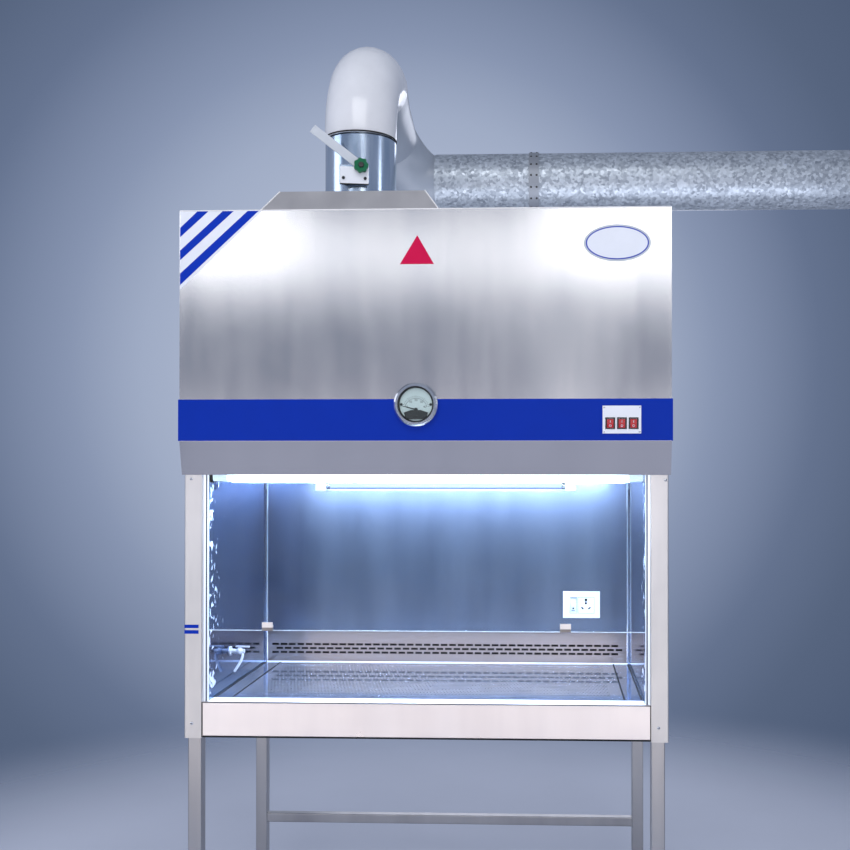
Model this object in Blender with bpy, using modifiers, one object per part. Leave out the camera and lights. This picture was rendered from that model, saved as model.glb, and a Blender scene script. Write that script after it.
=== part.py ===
# Biosafety cabinet on a four-legged stand, with its exhaust hood, damper and duct.
# Metres, +Z up, the user stands on the -Y side. The world origin is the sole of the
# front left leg. Every piece hangs from one empty at the middle of the post fronts.

import math

import bmesh
import bpy
from mathutils import Vector

# Work zone
CHAMBER_WIDTH = 1.220
CHAMBER_DEPTH = 0.610
CHAMBER_HEIGHT = 0.614
WORK_HEIGHT = 0.760

# Sheet metal, seating gaps and fold radii
CASE_SHEET = 0.0015
LINER_SHEET = 0.0012
GAP = 0.0003
FOLD = 0.003

# Stand and corner posts
POST_SIZE = 0.050
POST_WALL = 0.0015
POST_TOP_BELOW_CANOPY = 0.139
LEG_SIZE = 0.038
LEG_WALL = 0.002
LEG_INSERTION = 0.200
SOLE_SIZE = 0.050
SOLE_THICKNESS = 0.004
BAR_SIZE = 0.030
BAR_HEIGHT = 0.194
BASE_DEPTH = 0.100
REAR_PLENUM = 0.112

# Sash, its guides and its balance
GUIDE_SPACE = 0.0138
GLASS_THICKNESS = 0.005
GLASS_MIDPLANE = 0.018
SASH_HEIGHT = 0.665
SASH_OPENING = 0.200
SASH_RAISE = 0.410
SASH_CLOSED_GAP = 0.003
CLIP_WIDTH = 0.0305
CLIP_HEIGHT = 0.022
CLIP_LEFT_X = -0.4433
CLIP_RIGHT_X = 0.3905
CABLE_RADIUS = 0.0015
CABLE_INSET = 0.010
PULLEY_WIDTH = 0.010
PULLEY_FLANGE = 0.002
PIN_RADIUS = 0.004
WEIGHT_WIDTH = 0.043
WEIGHT_LENGTH = 0.530
PULLEY_BELOW_CANOPY = 0.059

# Canopy and its blue band
CANOPY_OVERHANG = 0.0062
CANOPY_FRONT = 0.025
CANOPY_HEIGHT = 0.734
LIP_RISE = 0.635
LIP_HEIGHT = 0.094
LIP_SLANT = 0.021
BAND_HEIGHT = 0.115
BAND_THICKNESS = 0.0025

# Base panel, work basin and tray
SILL_DEPTH = 0.055
PANEL_SETBACK = 0.003
PANEL_RETURN = 0.020
PANEL_RISE = 0.004
DECK_SIDE_MARGIN = 0.054
DECK_FRONT_MARGIN = 0.021
DECK_REAR_MARGIN = 0.045
DECK_RIM = 0.015
LEDGE_DEPTH = 0.0035
LEDGE_WIDTH = 0.010
SUMP_DEPTH = 0.060
SUMP_DRAFT = 0.020
TRAY_THICKNESS = 0.0028
TRAY_PLAY = 0.001

# Return air slots in the rear wall and in the tray
SLOT_PITCH = 0.0285
SLOT_LENGTH = 0.022
SLOT_HEIGHT = 0.007
SLOT_ROW_PITCH = 0.0135
SLOT_ROWS = 3
SLOT_FIRST_RISE = 0.0325
SLOTS_PER_ROW = 41
TRAY_SLOT_ROW_INSET = 0.016

# Ceiling, lamps and filters
TROUGH_FRONT = 0.030
TROUGH_DEPTH = 0.052
TROUGH_HEIGHT = 0.056
TROUGH_LIP = 0.033
WINDOW_RIM = 0.040
LAMP_RADIUS = 0.013
WORK_LAMP_LENGTH = 1.150
WORK_LAMP_DROP = 0.016
UV_LAMP_LENGTH = 0.866
UV_LAMP_BELOW_CEILING = 0.019
UV_LAMP_OFF_WALL = 0.028
UV_HOLDER_WIDTH = 0.035
SUPPLY_FILTER_HEIGHT = 0.078
EXHAUST_FILTER_HEIGHT = 0.150
EXHAUST_FILTER_WIDTH = 0.460
EXHAUST_FILTER_DEPTH = 0.400
PLEAT_PITCH = 0.060
FILTER_FRAME = 0.020

# Blower
PLENUM_HEIGHT = 0.165
BLOWER_X = 0.210
BLOWER_Y = 0.346
BLOWER_WIDTH = 0.200
IMPELLER_RADIUS = 0.130
IMPELLER_INNER_RADIUS = 0.104
IMPELLER_WIDTH = 0.150
BLADES = 20
BLADE_THICKNESS = 0.0016
SCROLL_CLEARANCE = 0.012
SCROLL_GROWTH = 0.060
MOTOR_RADIUS = 0.060
MOTOR_LENGTH = 0.130
SHAFT_RADIUS = 0.008
SHAFT_IN_MOTOR = 0.060
HUB_RADIUS = 0.022
HUB_LENGTH = 0.040

# Pressure gauge
GAUGE_X = -0.0195
GAUGE_RISE = 0.1935
BEZEL_RADIUS = 0.0603
GAUGE_CASE_RADIUS = 0.0565
GAUGE_CASE_DEPTH = 0.034
DIAL_RADIUS = 0.0500
DIAL_DEPTH = 0.006
BEZEL_DEPTH = 0.018
LENS_THICKNESS = 0.003
POINTER_DROP = 0.014
POINTER_LENGTH = 0.040
POINTER_REST = math.radians(75.0)

# Switch plate with three rockers
SWITCH_X = 0.5437
SWITCH_WIDTH = 0.105
SWITCH_HEIGHT = 0.076
SWITCH_PLATE = 0.003
ROCKER_PITCH = 0.0318
ROCKER_DROP = 0.010
BEZEL_WIDTH = 0.0265
BEZEL_HEIGHT = 0.0317
BEZEL_PROUD = 0.0015
ROCKER_WIDTH = 0.0178
ROCKER_HEIGHT = 0.024
ROCKER_TILT = math.radians(12.0)
ROCKER_PIVOT = 0.004
SWITCH_BODY_DEPTH = 0.022

# Socket on the rear wall
SOCKET_X = 0.4521
SOCKET_RISE = 0.1977
SOCKET_WIDTH = 0.1225
SOCKET_HEIGHT = 0.0875
SOCKET_PROUD = 0.008
SOCKET_BODY_DEPTH = 0.030
EARTH_HOLE_RADIUS = 0.0036
PIN_HOLE_RADIUS = 0.0033
PIN_HOLE_SPACING = 0.0238
PIN_HOLE_DEPTH = 0.022
WALL_SWITCH_OFFSET = 0.0274
WALL_SWITCH_WIDTH = 0.022
WALL_SWITCH_HEIGHT = 0.045
SOCKET_OFFSET = 0.0147

# Service valve on the left wall
VALVE_Y = 0.211
VALVE_RISE = 0.106
VALVE_REACH = 0.045
VALVE_STUB = 0.006
VALVE_BALL = 0.011
SPOUT_RADIUS = 0.004
VALVE_LEVER = 0.034

# Exhaust hood, collar and damper
EXHAUST_X = -0.236
EXHAUST_Y = 0.320
HOOD_HEIGHT = 0.103
HOOD_TOP_WIDTH = 0.4316
HOOD_TOP_DEPTH = 0.286
HOOD_SPREAD = 0.0686
HOOD_FLANGE = 0.015
HOOD_SEAT = 0.0009
COLLAR_RADIUS = 0.10825
COLLAR_FLANGE = 0.008
COLLAR_BELOW_HOOD = 0.030
ELBOW_RIM_ABOVE_HOOD = 0.188
SOCKET_OVERLAP = 0.020
DUCT_SHEET = 0.0012
ELBOW_WALL = 0.0010
ELBOW_PLAY = 0.0009
DAMPER_ABOVE_HOOD = 0.079
DAMPER_TURN = math.radians(10.4)
DAMPER_ANGLE = math.radians(36.8)
DAMPER_SHAFT_RADIUS = 0.006
BLADE_CLEARANCE = 0.0015
BRACKET_WIDTH = 0.087
BRACKET_HEIGHT = 0.050
BRACKET_STANDOFF = 0.015
BRACKET_SHEET = 0.002
BRACKET_OFFSET = 0.020
BRACKET_DROP = 0.0215
LEVER_LENGTH = 0.178
LEVER_WIDTH = 0.026
LEVER_THICKNESS = 0.003
KNOB_RADIUS = 0.022
KNOB_LOBES = 7
KNOB_THICKNESS = 0.014

# Duct run behind the hood
ELBOW_BEND = 0.231
ELBOW_SLEEVE = 0.022
RUN_START_SLEEVE = 0.015
RUN_MIDDLE = (-0.255, 0.800, 0.006)
RUN_TURN = (-0.262, 1.010, 0.024)
RUN_BEND = 0.155
MAIN_DUCT_DROP = 0.157
MAIN_DUCT_END = 1.500
JOINT_BAND_START = 0.271
JOINT_BAND_WIDTH = 0.031
JOINT_BAND_PROUD = 0.003

# Levels above the floor
BASE_Z = WORK_HEIGHT - BASE_DEPTH
CEILING_Z = WORK_HEIGHT + CHAMBER_HEIGHT
LIP_Z = WORK_HEIGHT + LIP_RISE
BAND_Z = LIP_Z + LIP_HEIGHT
CANOPY_TOP = LIP_Z + CANOPY_HEIGHT
CANOPY_INSIDE_TOP = CANOPY_TOP - CASE_SHEET - GAP
POST_TOP = CANOPY_TOP - POST_TOP_BELOW_CANOPY
BAND_MIDDLE_Z = BAND_Z + BAND_HEIGHT / 2

# Widths and depths from the middle of the post fronts
HALF_CHAMBER = CHAMBER_WIDTH / 2
POST_IN = HALF_CHAMBER + GUIDE_SPACE
POST_OUT = POST_IN + POST_SIZE
LEG_X = POST_IN + POST_WALL + GAP + LEG_SIZE / 2
LEG_Y = POST_WALL + GAP + LEG_SIZE / 2
CASE_BACK = CHAMBER_DEPTH + REAR_PLENUM
REAR_LEG_Y = CASE_BACK - CASE_SHEET - GAP - LEG_SIZE / 2
CANOPY_HALF = POST_OUT + CANOPY_OVERHANG
CANOPY_INNER = CANOPY_HALF - CASE_SHEET
BAND_FACE = -CANOPY_FRONT - GAP - BAND_THICKNESS
GUIDE_OUT = POST_IN - GAP
GUIDE_SLOT = GLASS_THICKNESS / 2 + GAP

# How each extrusion direction is turned: local x and y lie on the outline's axes
TURN = {
    "X": (math.pi / 2, 0.0, math.pi / 2),
    "Y": (math.pi / 2, 0.0, 0.0),
    "Z": (0.0, 0.0, 0.0),
}

# Finishes: colour, roughness, metallic
FINISHES = {
    "stainless": ((0.62, 0.61, 0.60), 0.30, 1.0),
    "liner_steel": ((0.55, 0.57, 0.62), 0.18, 1.0),
    "tray_steel": ((0.70, 0.70, 0.72), 0.12, 1.0),
    "dark_steel": ((0.42, 0.40, 0.39), 0.38, 1.0),
    "galvanised": ((0.50, 0.53, 0.57), 0.42, 1.0),
    "blue_band": ((0.004, 0.030, 0.38), 0.30, 0.0),
    "white_duct": ((0.80, 0.80, 0.82), 0.15, 0.0),
    "grey_duct": ((0.33, 0.36, 0.40), 0.35, 0.0),
    "glass": ((0.80, 0.88, 0.90), 0.02, 0.0),
    "lamp_glass": ((0.92, 0.95, 1.00), 0.20, 0.0),
    "white_plastic": ((0.82, 0.83, 0.85), 0.28, 0.0),
    "black_plastic": ((0.02, 0.02, 0.02), 0.35, 0.0),
    "red_rocker": ((0.60, 0.01, 0.02), 0.20, 0.0),
    "green_knob": ((0.00, 0.16, 0.09), 0.35, 0.0),
    "filter_paper": ((0.85, 0.85, 0.80), 0.90, 0.0),
    "cast_weight": ((0.12, 0.12, 0.13), 0.60, 0.8),
}

for old in list(bpy.data.objects):
    bpy.data.objects.remove(old, do_unlink=True)

PARTS = bpy.data.collections.new("biosafety_cabinet")
CUTTERS = bpy.data.collections.new("cutters")
bpy.context.scene.collection.children.link(PARTS)
bpy.context.scene.collection.children.link(CUTTERS)

CABINET = bpy.data.objects.new("cabinet_middle", None)
CABINET.location = (LEG_X, -LEG_Y, 0.0)
PARTS.objects.link(CABINET)


def finish(name):
    """One material per finish name, made the first time it is asked for."""
    found = bpy.data.materials.get(name)
    if found:
        return found
    colour, roughness, metallic = FINISHES[name]
    made = bpy.data.materials.new(name)
    made.use_nodes = True
    shader = made.node_tree.nodes["Principled BSDF"]
    shader.inputs["Base Color"].default_value = (*colour, 1.0)
    shader.inputs["Roughness"].default_value = roughness
    shader.inputs["Metallic"].default_value = metallic
    return made


def place(name, data, finish_name, location, turn=(0.0, 0.0, 0.0), parent=None, cutter=False):
    """Puts a mesh or curve in the model, or among the cutters."""
    made = bpy.data.objects.new(name, data)
    made.location = location
    made.rotation_euler = turn
    made.parent = parent or CABINET
    if cutter:
        CUTTERS.objects.link(made)
        made.hide_render = True
        made.display_type = "WIRE"
    else:
        PARTS.objects.link(made)
        data.materials.append(finish(finish_name))
    return made


def baked(source):
    """The same piece as a plain welded mesh, for a piece that is cut, joined or turned."""
    bpy.context.view_layer.update()
    graph = bpy.context.evaluated_depsgraph_get()
    mesh = bpy.data.meshes.new_from_object(source.evaluated_get(graph))
    work = bmesh.new()
    work.from_mesh(mesh)
    bmesh.ops.remove_doubles(work, verts=work.verts, dist=0.00001)
    work.to_mesh(mesh)
    work.free()
    mesh.shade_smooth()
    mesh.set_sharp_from_angle(angle=math.radians(30.0))
    made = bpy.data.objects.new(source.name, mesh)
    for group in source.users_collection:
        group.objects.link(made)
    made.parent = source.parent
    made.location = source.location
    made.rotation_euler = source.rotation_euler
    made.hide_render = source.hide_render
    made.display_type = source.display_type
    name = source.name
    bpy.data.objects.remove(source, do_unlink=True)
    made.name = name
    return made


def combine(target, tool, operation):
    """Boolean of one piece with another, which stays among the cutters."""
    step = target.modifiers.new(operation.lower() + "_" + tool.name, "BOOLEAN")
    step.operation = operation
    step.solver = "EXACT"
    step.object = tool
    return target


def cut(target, *tools):
    """Takes each tool's shape out of the target."""
    for tool in tools:
        combine(target, tool, "DIFFERENCE")
    return target


def join(target, *tools):
    """Welds each tool's shape to the target."""
    for tool in tools:
        combine(target, tool, "UNION")
    return target


def block(name, low, high, finish_name=None, edge=0.0, origin=None, parent=None):
    """A box between two corners; without a finish it is a cutter."""
    low = Vector(low)
    high = Vector(high)
    origin = (low + high) / 2 if origin is None else Vector(origin)
    mesh = bpy.data.meshes.new(name)
    work = bmesh.new()
    bmesh.ops.create_cube(work, size=1.0)
    for vert in work.verts:
        for axis in range(3):
            vert.co[axis] = (low[axis] if vert.co[axis] < 0 else high[axis]) - origin[axis]
    work.to_mesh(mesh)
    work.free()
    made = place(name, mesh, finish_name, origin, parent=parent, cutter=finish_name is None)
    if edge:
        bevel = made.modifiers.new("edges", "BEVEL")
        bevel.width = edge
        bevel.segments = 2
    return made


def extrusion(name, outlines, axis, start, end, finish_name=None, origin=None, parent=None):
    """A flat outline with its holes, drawn out along an axis from start to end."""
    if origin is None:
        xs = [point[0] for point in outlines[0]]
        ys = [point[1] for point in outlines[0]]
        centre = ((min(xs) + max(xs)) / 2, (min(ys) + max(ys)) / 2)
    else:
        order = {"X": (1, 2), "Y": (0, 2), "Z": (0, 1)}[axis]
        centre = (origin[order[0]], origin[order[1]])
    curve = bpy.data.curves.new(name, "CURVE")
    curve.dimensions = "2D"
    curve.fill_mode = "BOTH"
    curve.extrude = abs(end - start) / 2
    for outline in outlines:
        spline = curve.splines.new("POLY")
        spline.points.add(len(outline) - 1)
        for target, point in zip(spline.points, outline):
            target.co = (point[0] - centre[0], point[1] - centre[1], 0.0, 1.0)
        spline.use_cyclic_u = True
    middle = (start + end) / 2
    location = {
        "X": (middle, centre[0], centre[1]),
        "Y": (centre[0], middle, centre[1]),
        "Z": (centre[0], centre[1], middle),
    }[axis]
    return place(name, curve, finish_name, location, TURN[axis], parent, finish_name is None)


def turned(name, profile, finish_name=None, location=(0, 0, 0), turn=(0, 0, 0), closed=False,
           steps=48, parent=None):
    """A profile of (radius, height) points, outer side first and top to bottom, turned round Z."""
    mesh = bpy.data.meshes.new(name)
    count = len(profile)
    edges = [(i, i + 1) for i in range(count - 1)]
    if closed:
        edges.append((count - 1, 0))
    mesh.from_pydata([(radius, 0.0, height) for radius, height in profile], edges, [])
    made = place(name, mesh, finish_name, location, turn, parent, finish_name is None)
    screw = made.modifiers.new("turn", "SCREW")
    screw.steps = steps
    screw.render_steps = steps
    screw.use_merge_vertices = True
    screw.merge_threshold = 0.00001
    return baked(made)


def rod(name, radius, bottom, top, finish_name=None, location=(0, 0, 0), turn=(0, 0, 0), steps=24,
        parent=None):
    """A plain round bar along its own Z."""
    profile = [(0.0, top), (radius, top), (radius, bottom), (0.0, bottom)]
    return turned(name, profile, finish_name, location, turn, steps=steps, parent=parent)


def tube(name, points, radius, wall, finish_name, resolution=12):
    """A pipe through the points: open at both ends with a wall, or a solid wire without one."""
    curve = bpy.data.curves.new(name, "CURVE")
    curve.dimensions = "3D"
    curve.bevel_depth = radius
    curve.bevel_resolution = resolution
    curve.use_fill_caps = not wall
    spline = curve.splines.new("POLY")
    spline.points.add(len(points) - 1)
    start = Vector(points[0])
    for target, point in zip(spline.points, points):
        target.co = (*(Vector(point) - start), 1.0)
    made = baked(place(name, curve, finish_name, start))
    if wall:
        shell(made, wall)
    return made


def shell(target, thickness):
    """Gives an open surface its sheet thickness, on the inner side of its faces."""
    solid = target.modifiers.new("sheet", "SOLIDIFY")
    solid.thickness = thickness
    solid.offset = -1.0
    solid.use_even_offset = True
    return target


def lofted(name, loops, finish_name, thickness, cap_end=False, origin=(0, 0, 0)):
    """A sheet shell through rectangles (x0, x1, y0, y1, z), taken in order."""
    work = bmesh.new()
    rings = []
    for x0, x1, y0, y1, z in loops:
        corners = ((x0, y0), (x1, y0), (x1, y1), (x0, y1))
        rings.append([work.verts.new((x - origin[0], y - origin[1], z - origin[2])) for x, y in corners])
    for lower, upper in zip(rings, rings[1:]):
        for i in range(4):
            j = (i + 1) % 4
            work.faces.new((lower[i], lower[j], upper[j], upper[i]))
    if cap_end:
        work.faces.new(rings[-1])
    mesh = bpy.data.meshes.new(name)
    work.to_mesh(mesh)
    work.free()
    return shell(place(name, mesh, finish_name, origin), thickness)


def rectangle(x0, x1, y0, y1):
    """Corners of a rectangle, anticlockwise."""
    return [(x0, y0), (x1, y0), (x1, y1), (x0, y1)]


def rounded(path, radius, steps=3, closed=True):
    """The same outline with each corner replaced by a short arc."""
    count = len(path)
    result = []
    for i in range(count):
        corner = Vector(path[i])
        if not closed and i in (0, count - 1):
            result.append(tuple(corner))
            continue
        before = (Vector(path[i - 1]) - corner).normalized()
        after = (Vector(path[(i + 1) % count]) - corner).normalized()
        half = math.acos(max(-1.0, min(1.0, before.dot(after)))) / 2
        reach = radius / math.tan(half)
        centre = corner + (before + after).normalized() * (radius / math.sin(half))
        first = corner + before * reach - centre
        sweep = first.angle_signed(corner + after * reach - centre)
        for step in range(steps + 1):
            angle = -sweep * step / steps
            turned_x = first.x * math.cos(angle) - first.y * math.sin(angle)
            turned_y = first.x * math.sin(angle) + first.y * math.cos(angle)
            result.append((centre.x + turned_x, centre.y + turned_y))
    return result


def folded(path, thickness):
    """Closed outline of a folded sheet: the path is one face and the other lies to its left."""
    points = [Vector(point) for point in path]
    other = []
    for i, point in enumerate(points):
        before = (point - points[i - 1]).normalized() if i else None
        after = (points[i + 1] - point).normalized() if i < len(points) - 1 else None
        before = before or after
        after = after or before
        normal = Vector((-before.y, before.x))
        mitre = (normal + Vector((-after.y, after.x))).normalized()
        other.append(tuple(point + mitre * (thickness / mitre.dot(normal))))
    return [tuple(point) for point in points] + other[::-1]


def circle(x, y, radius, count=24):
    """Points of a circle."""
    return [(x + radius * math.cos(2 * math.pi * i / count),
             y + radius * math.sin(2 * math.pi * i / count)) for i in range(count)]


def square_tube(name, x, y, size, wall, start, end, finish_name):
    """An upright square tube with rounded corners."""
    half = size / 2
    outer = rounded(rectangle(x - half, x + half, y - half, y + half), FOLD)
    inner_half = half - wall
    inner = rounded(rectangle(x - inner_half, x + inner_half, y - inner_half, y + inner_half), FOLD - wall / 2)
    return extrusion(name, [outer, inner], "Z", start, end, finish_name)


def slot_row(middle_x, y, count, pitch, length, height):
    """Outlines of a row of slots centred on a place."""
    first = middle_x - (count - 1) * pitch / 2
    return [rectangle(first + i * pitch - length / 2, first + i * pitch + length / 2,
                      y - height / 2, y + height / 2) for i in range(count)]


def pleated(x0, x1, z0, z1):
    """Outline of a filter pack: a frame at each end and pleats between, top and bottom."""
    inner0 = x0 + FILTER_FRAME
    inner1 = x1 - FILTER_FRAME
    count = max(2, round((inner1 - inner0) / PLEAT_PITCH))
    pitch = (inner1 - inner0) / count
    depth = (z1 - z0) * 0.35
    top = []
    for i in range(count):
        top.append((inner0 + i * pitch, z1))
        top.append((inner0 + (i + 0.5) * pitch, z1 - depth))
    top.append((inner1, z1))
    bottom = [(x, z0 + z1 - z) for x, z in reversed(top)]
    return [(x0, z0), (x0, z1)] + top + [(x1, z1), (x1, z0)] + bottom


def build_stand():
    """Four legs on welded soles and the rear crossbar."""
    front_top = BASE_Z + LEG_INSERTION
    for side, sign in (("left", -1), ("right", 1)):
        for end, y, top in (("front", LEG_Y, front_top), ("rear", REAR_LEG_Y, CANOPY_INSIDE_TOP)):
            name = "leg_" + end + "_" + side
            leg = baked(square_tube(name, sign * LEG_X, y, LEG_SIZE, LEG_WALL,
                                    SOLE_THICKNESS / 2, top, "stainless"))
            half = SOLE_SIZE / 2
            sole = block(name + "_sole", (sign * LEG_X - half, y - half, 0.0),
                         (sign * LEG_X + half, y + half, SOLE_THICKNESS))
            join(leg, sole)
    reach = LEG_X - LEG_SIZE / 2 - GAP
    half = BAR_SIZE / 2
    outer = rounded(rectangle(REAR_LEG_Y - half, REAR_LEG_Y + half, BAR_HEIGHT, BAR_HEIGHT + BAR_SIZE), FOLD)
    inner = rounded(rectangle(REAR_LEG_Y - half + POST_WALL, REAR_LEG_Y + half - POST_WALL,
                              BAR_HEIGHT + POST_WALL, BAR_HEIGHT + BAR_SIZE - POST_WALL), FOLD / 2)
    extrusion("rear_crossbar", [outer, inner], "X", -reach, reach, "stainless")


def build_case():
    """Front posts, outer panels and the front panel of the base."""
    middle = (POST_IN + POST_OUT) / 2
    for side, sign in (("left", -1), ("right", 1)):
        square_tube("front_post_" + side, sign * middle, POST_SIZE / 2, POST_SIZE, POST_WALL,
                    BASE_Z, POST_TOP, "stainless")
        rear = CASE_BACK - CASE_SHEET - GAP
        flange = LEG_X + LEG_SIZE / 2 + GAP
        path = [(POST_OUT, POST_SIZE + GAP), (POST_OUT, rear), (flange, rear)]
        outline = [(sign * x, y) for x, y in folded(path, CASE_SHEET)]
        extrusion("side_panel_" + side, [outline], "Z", BASE_Z, BAND_Z - GAP, "stainless")
    upper = CANOPY_INNER - GAP
    step = LIP_Z + FOLD
    outline = [(-POST_OUT, BASE_Z), (POST_OUT, BASE_Z), (POST_OUT, step), (upper, step),
               (upper, CANOPY_INSIDE_TOP), (-upper, CANOPY_INSIDE_TOP), (-upper, step), (-POST_OUT, step)]
    extrusion("rear_panel", [outline], "Y", CASE_BACK - CASE_SHEET, CASE_BACK, "stainless")
    bottom = BASE_Z + PANEL_RISE
    back = PANEL_SETBACK + SILL_DEPTH
    path = [(back, WORK_HEIGHT - DECK_RIM), (back, WORK_HEIGHT), (PANEL_SETBACK, WORK_HEIGHT),
            (PANEL_SETBACK, bottom), (PANEL_SETBACK + PANEL_RETURN, bottom)]
    outline = folded(rounded(path, FOLD, closed=False), CASE_SHEET)
    extrusion("base_front_panel", [outline], "X", -POST_IN + GAP, POST_IN - GAP, "stainless")


def build_chamber():
    """Liner walls, rear wall with its slots, basin, tray and ceiling."""
    low = WORK_HEIGHT - DECK_RIM
    high = CEILING_Z - GAP
    front = GLASS_MIDPLANE + GUIDE_SLOT + CASE_SHEET + GAP
    sill = PANEL_SETBACK + SILL_DEPTH + GAP
    back = CHAMBER_DEPTH - GAP
    above = WORK_HEIGHT + GAP
    side = [(front, above), (sill, above), (sill, low), (back, low), (back, high), (front, high)]
    stem = circle(VALVE_Y, WORK_HEIGHT + VALVE_RISE, VALVE_STUB + GAP)
    extrusion("liner_side_left", [side, stem], "X", -HALF_CHAMBER - LINER_SHEET, -HALF_CHAMBER, "liner_steel")
    extrusion("liner_side_right", [side], "X", HALF_CHAMBER, HALF_CHAMBER + LINER_SHEET, "liner_steel")

    edge = HALF_CHAMBER + LINER_SHEET
    holes = []
    for row in range(SLOT_ROWS):
        shift = SLOT_PITCH / 4 if row % 2 else -SLOT_PITCH / 4
        z = WORK_HEIGHT + SLOT_FIRST_RISE + row * SLOT_ROW_PITCH
        holes += slot_row(shift, z, SLOTS_PER_ROW, SLOT_PITCH, SLOT_LENGTH, SLOT_HEIGHT)
    centre_z = WORK_HEIGHT + SOCKET_RISE
    half_width = SOCKET_WIDTH / 2 - 0.010
    half_height = SOCKET_HEIGHT / 2 - 0.010
    holes.append(rectangle(SOCKET_X - half_width, SOCKET_X + half_width,
                           centre_z - half_height, centre_z + half_height))
    extrusion("rear_wall", [rectangle(-edge, edge, low, high)] + holes, "Y",
              CHAMBER_DEPTH, CHAMBER_DEPTH + LINER_SHEET, "liner_steel")

    x = HALF_CHAMBER - GAP
    y0 = sill
    y1 = back
    tray_x = HALF_CHAMBER - DECK_SIDE_MARGIN
    tray_y0 = y0 + DECK_FRONT_MARGIN
    tray_y1 = y1 - DECK_REAR_MARGIN
    ledge_z = WORK_HEIGHT - LEDGE_DEPTH
    inner = tray_x - LEDGE_WIDTH
    sump = inner - SUMP_DRAFT
    loops = [
        (-x, x, y0, y1, low), (-x, x, y0, y1, WORK_HEIGHT),
        (-tray_x, tray_x, tray_y0, tray_y1, WORK_HEIGHT),
        (-tray_x, tray_x, tray_y0, tray_y1, ledge_z),
        (-inner, inner, tray_y0 + LEDGE_WIDTH, tray_y1 - LEDGE_WIDTH, ledge_z),
        (-sump, sump, tray_y0 + LEDGE_WIDTH + SUMP_DRAFT, tray_y1 - LEDGE_WIDTH - SUMP_DRAFT,
         WORK_HEIGHT - SUMP_DEPTH),
    ]
    lofted("work_basin", loops, "liner_steel", LINER_SHEET, cap_end=True)

    half = tray_x - TRAY_PLAY
    plate = rectangle(-half, half, tray_y0 + TRAY_PLAY, tray_y1 - TRAY_PLAY)
    count = int((2 * half - 0.060) / SLOT_PITCH)
    rows = slot_row(0.0, tray_y1 - TRAY_SLOT_ROW_INSET, count, SLOT_PITCH, SLOT_LENGTH, SLOT_HEIGHT)
    rows += slot_row(0.0, tray_y0 + TRAY_SLOT_ROW_INSET, count, SLOT_PITCH, SLOT_LENGTH, SLOT_HEIGHT)
    extrusion("work_tray", [plate] + rows, "Z", ledge_z + GAP, ledge_z + GAP + TRAY_THICKNESS, "tray_steel")

    rear = CHAMBER_DEPTH + LINER_SHEET
    wall = TROUGH_FRONT + TROUGH_DEPTH
    path = [(rear, CEILING_Z), (wall, CEILING_Z), (wall, CEILING_Z + TROUGH_HEIGHT),
            (TROUGH_FRONT, CEILING_Z + TROUGH_HEIGHT), (TROUGH_FRONT, CEILING_Z + TROUGH_HEIGHT - TROUGH_LIP)]
    outline = folded(path[::-1], CASE_SHEET)
    ceiling = baked(extrusion("ceiling_panel", [outline], "X", -POST_IN + GAP, POST_IN - GAP, "liner_steel"))
    window = block("filter_window", (-HALF_CHAMBER + WINDOW_RIM, wall + WINDOW_RIM, CEILING_Z - 0.01),
                   (HALF_CHAMBER - WINDOW_RIM, rear - WINDOW_RIM, CEILING_Z + 0.01))
    cut(ceiling, window)


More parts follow.
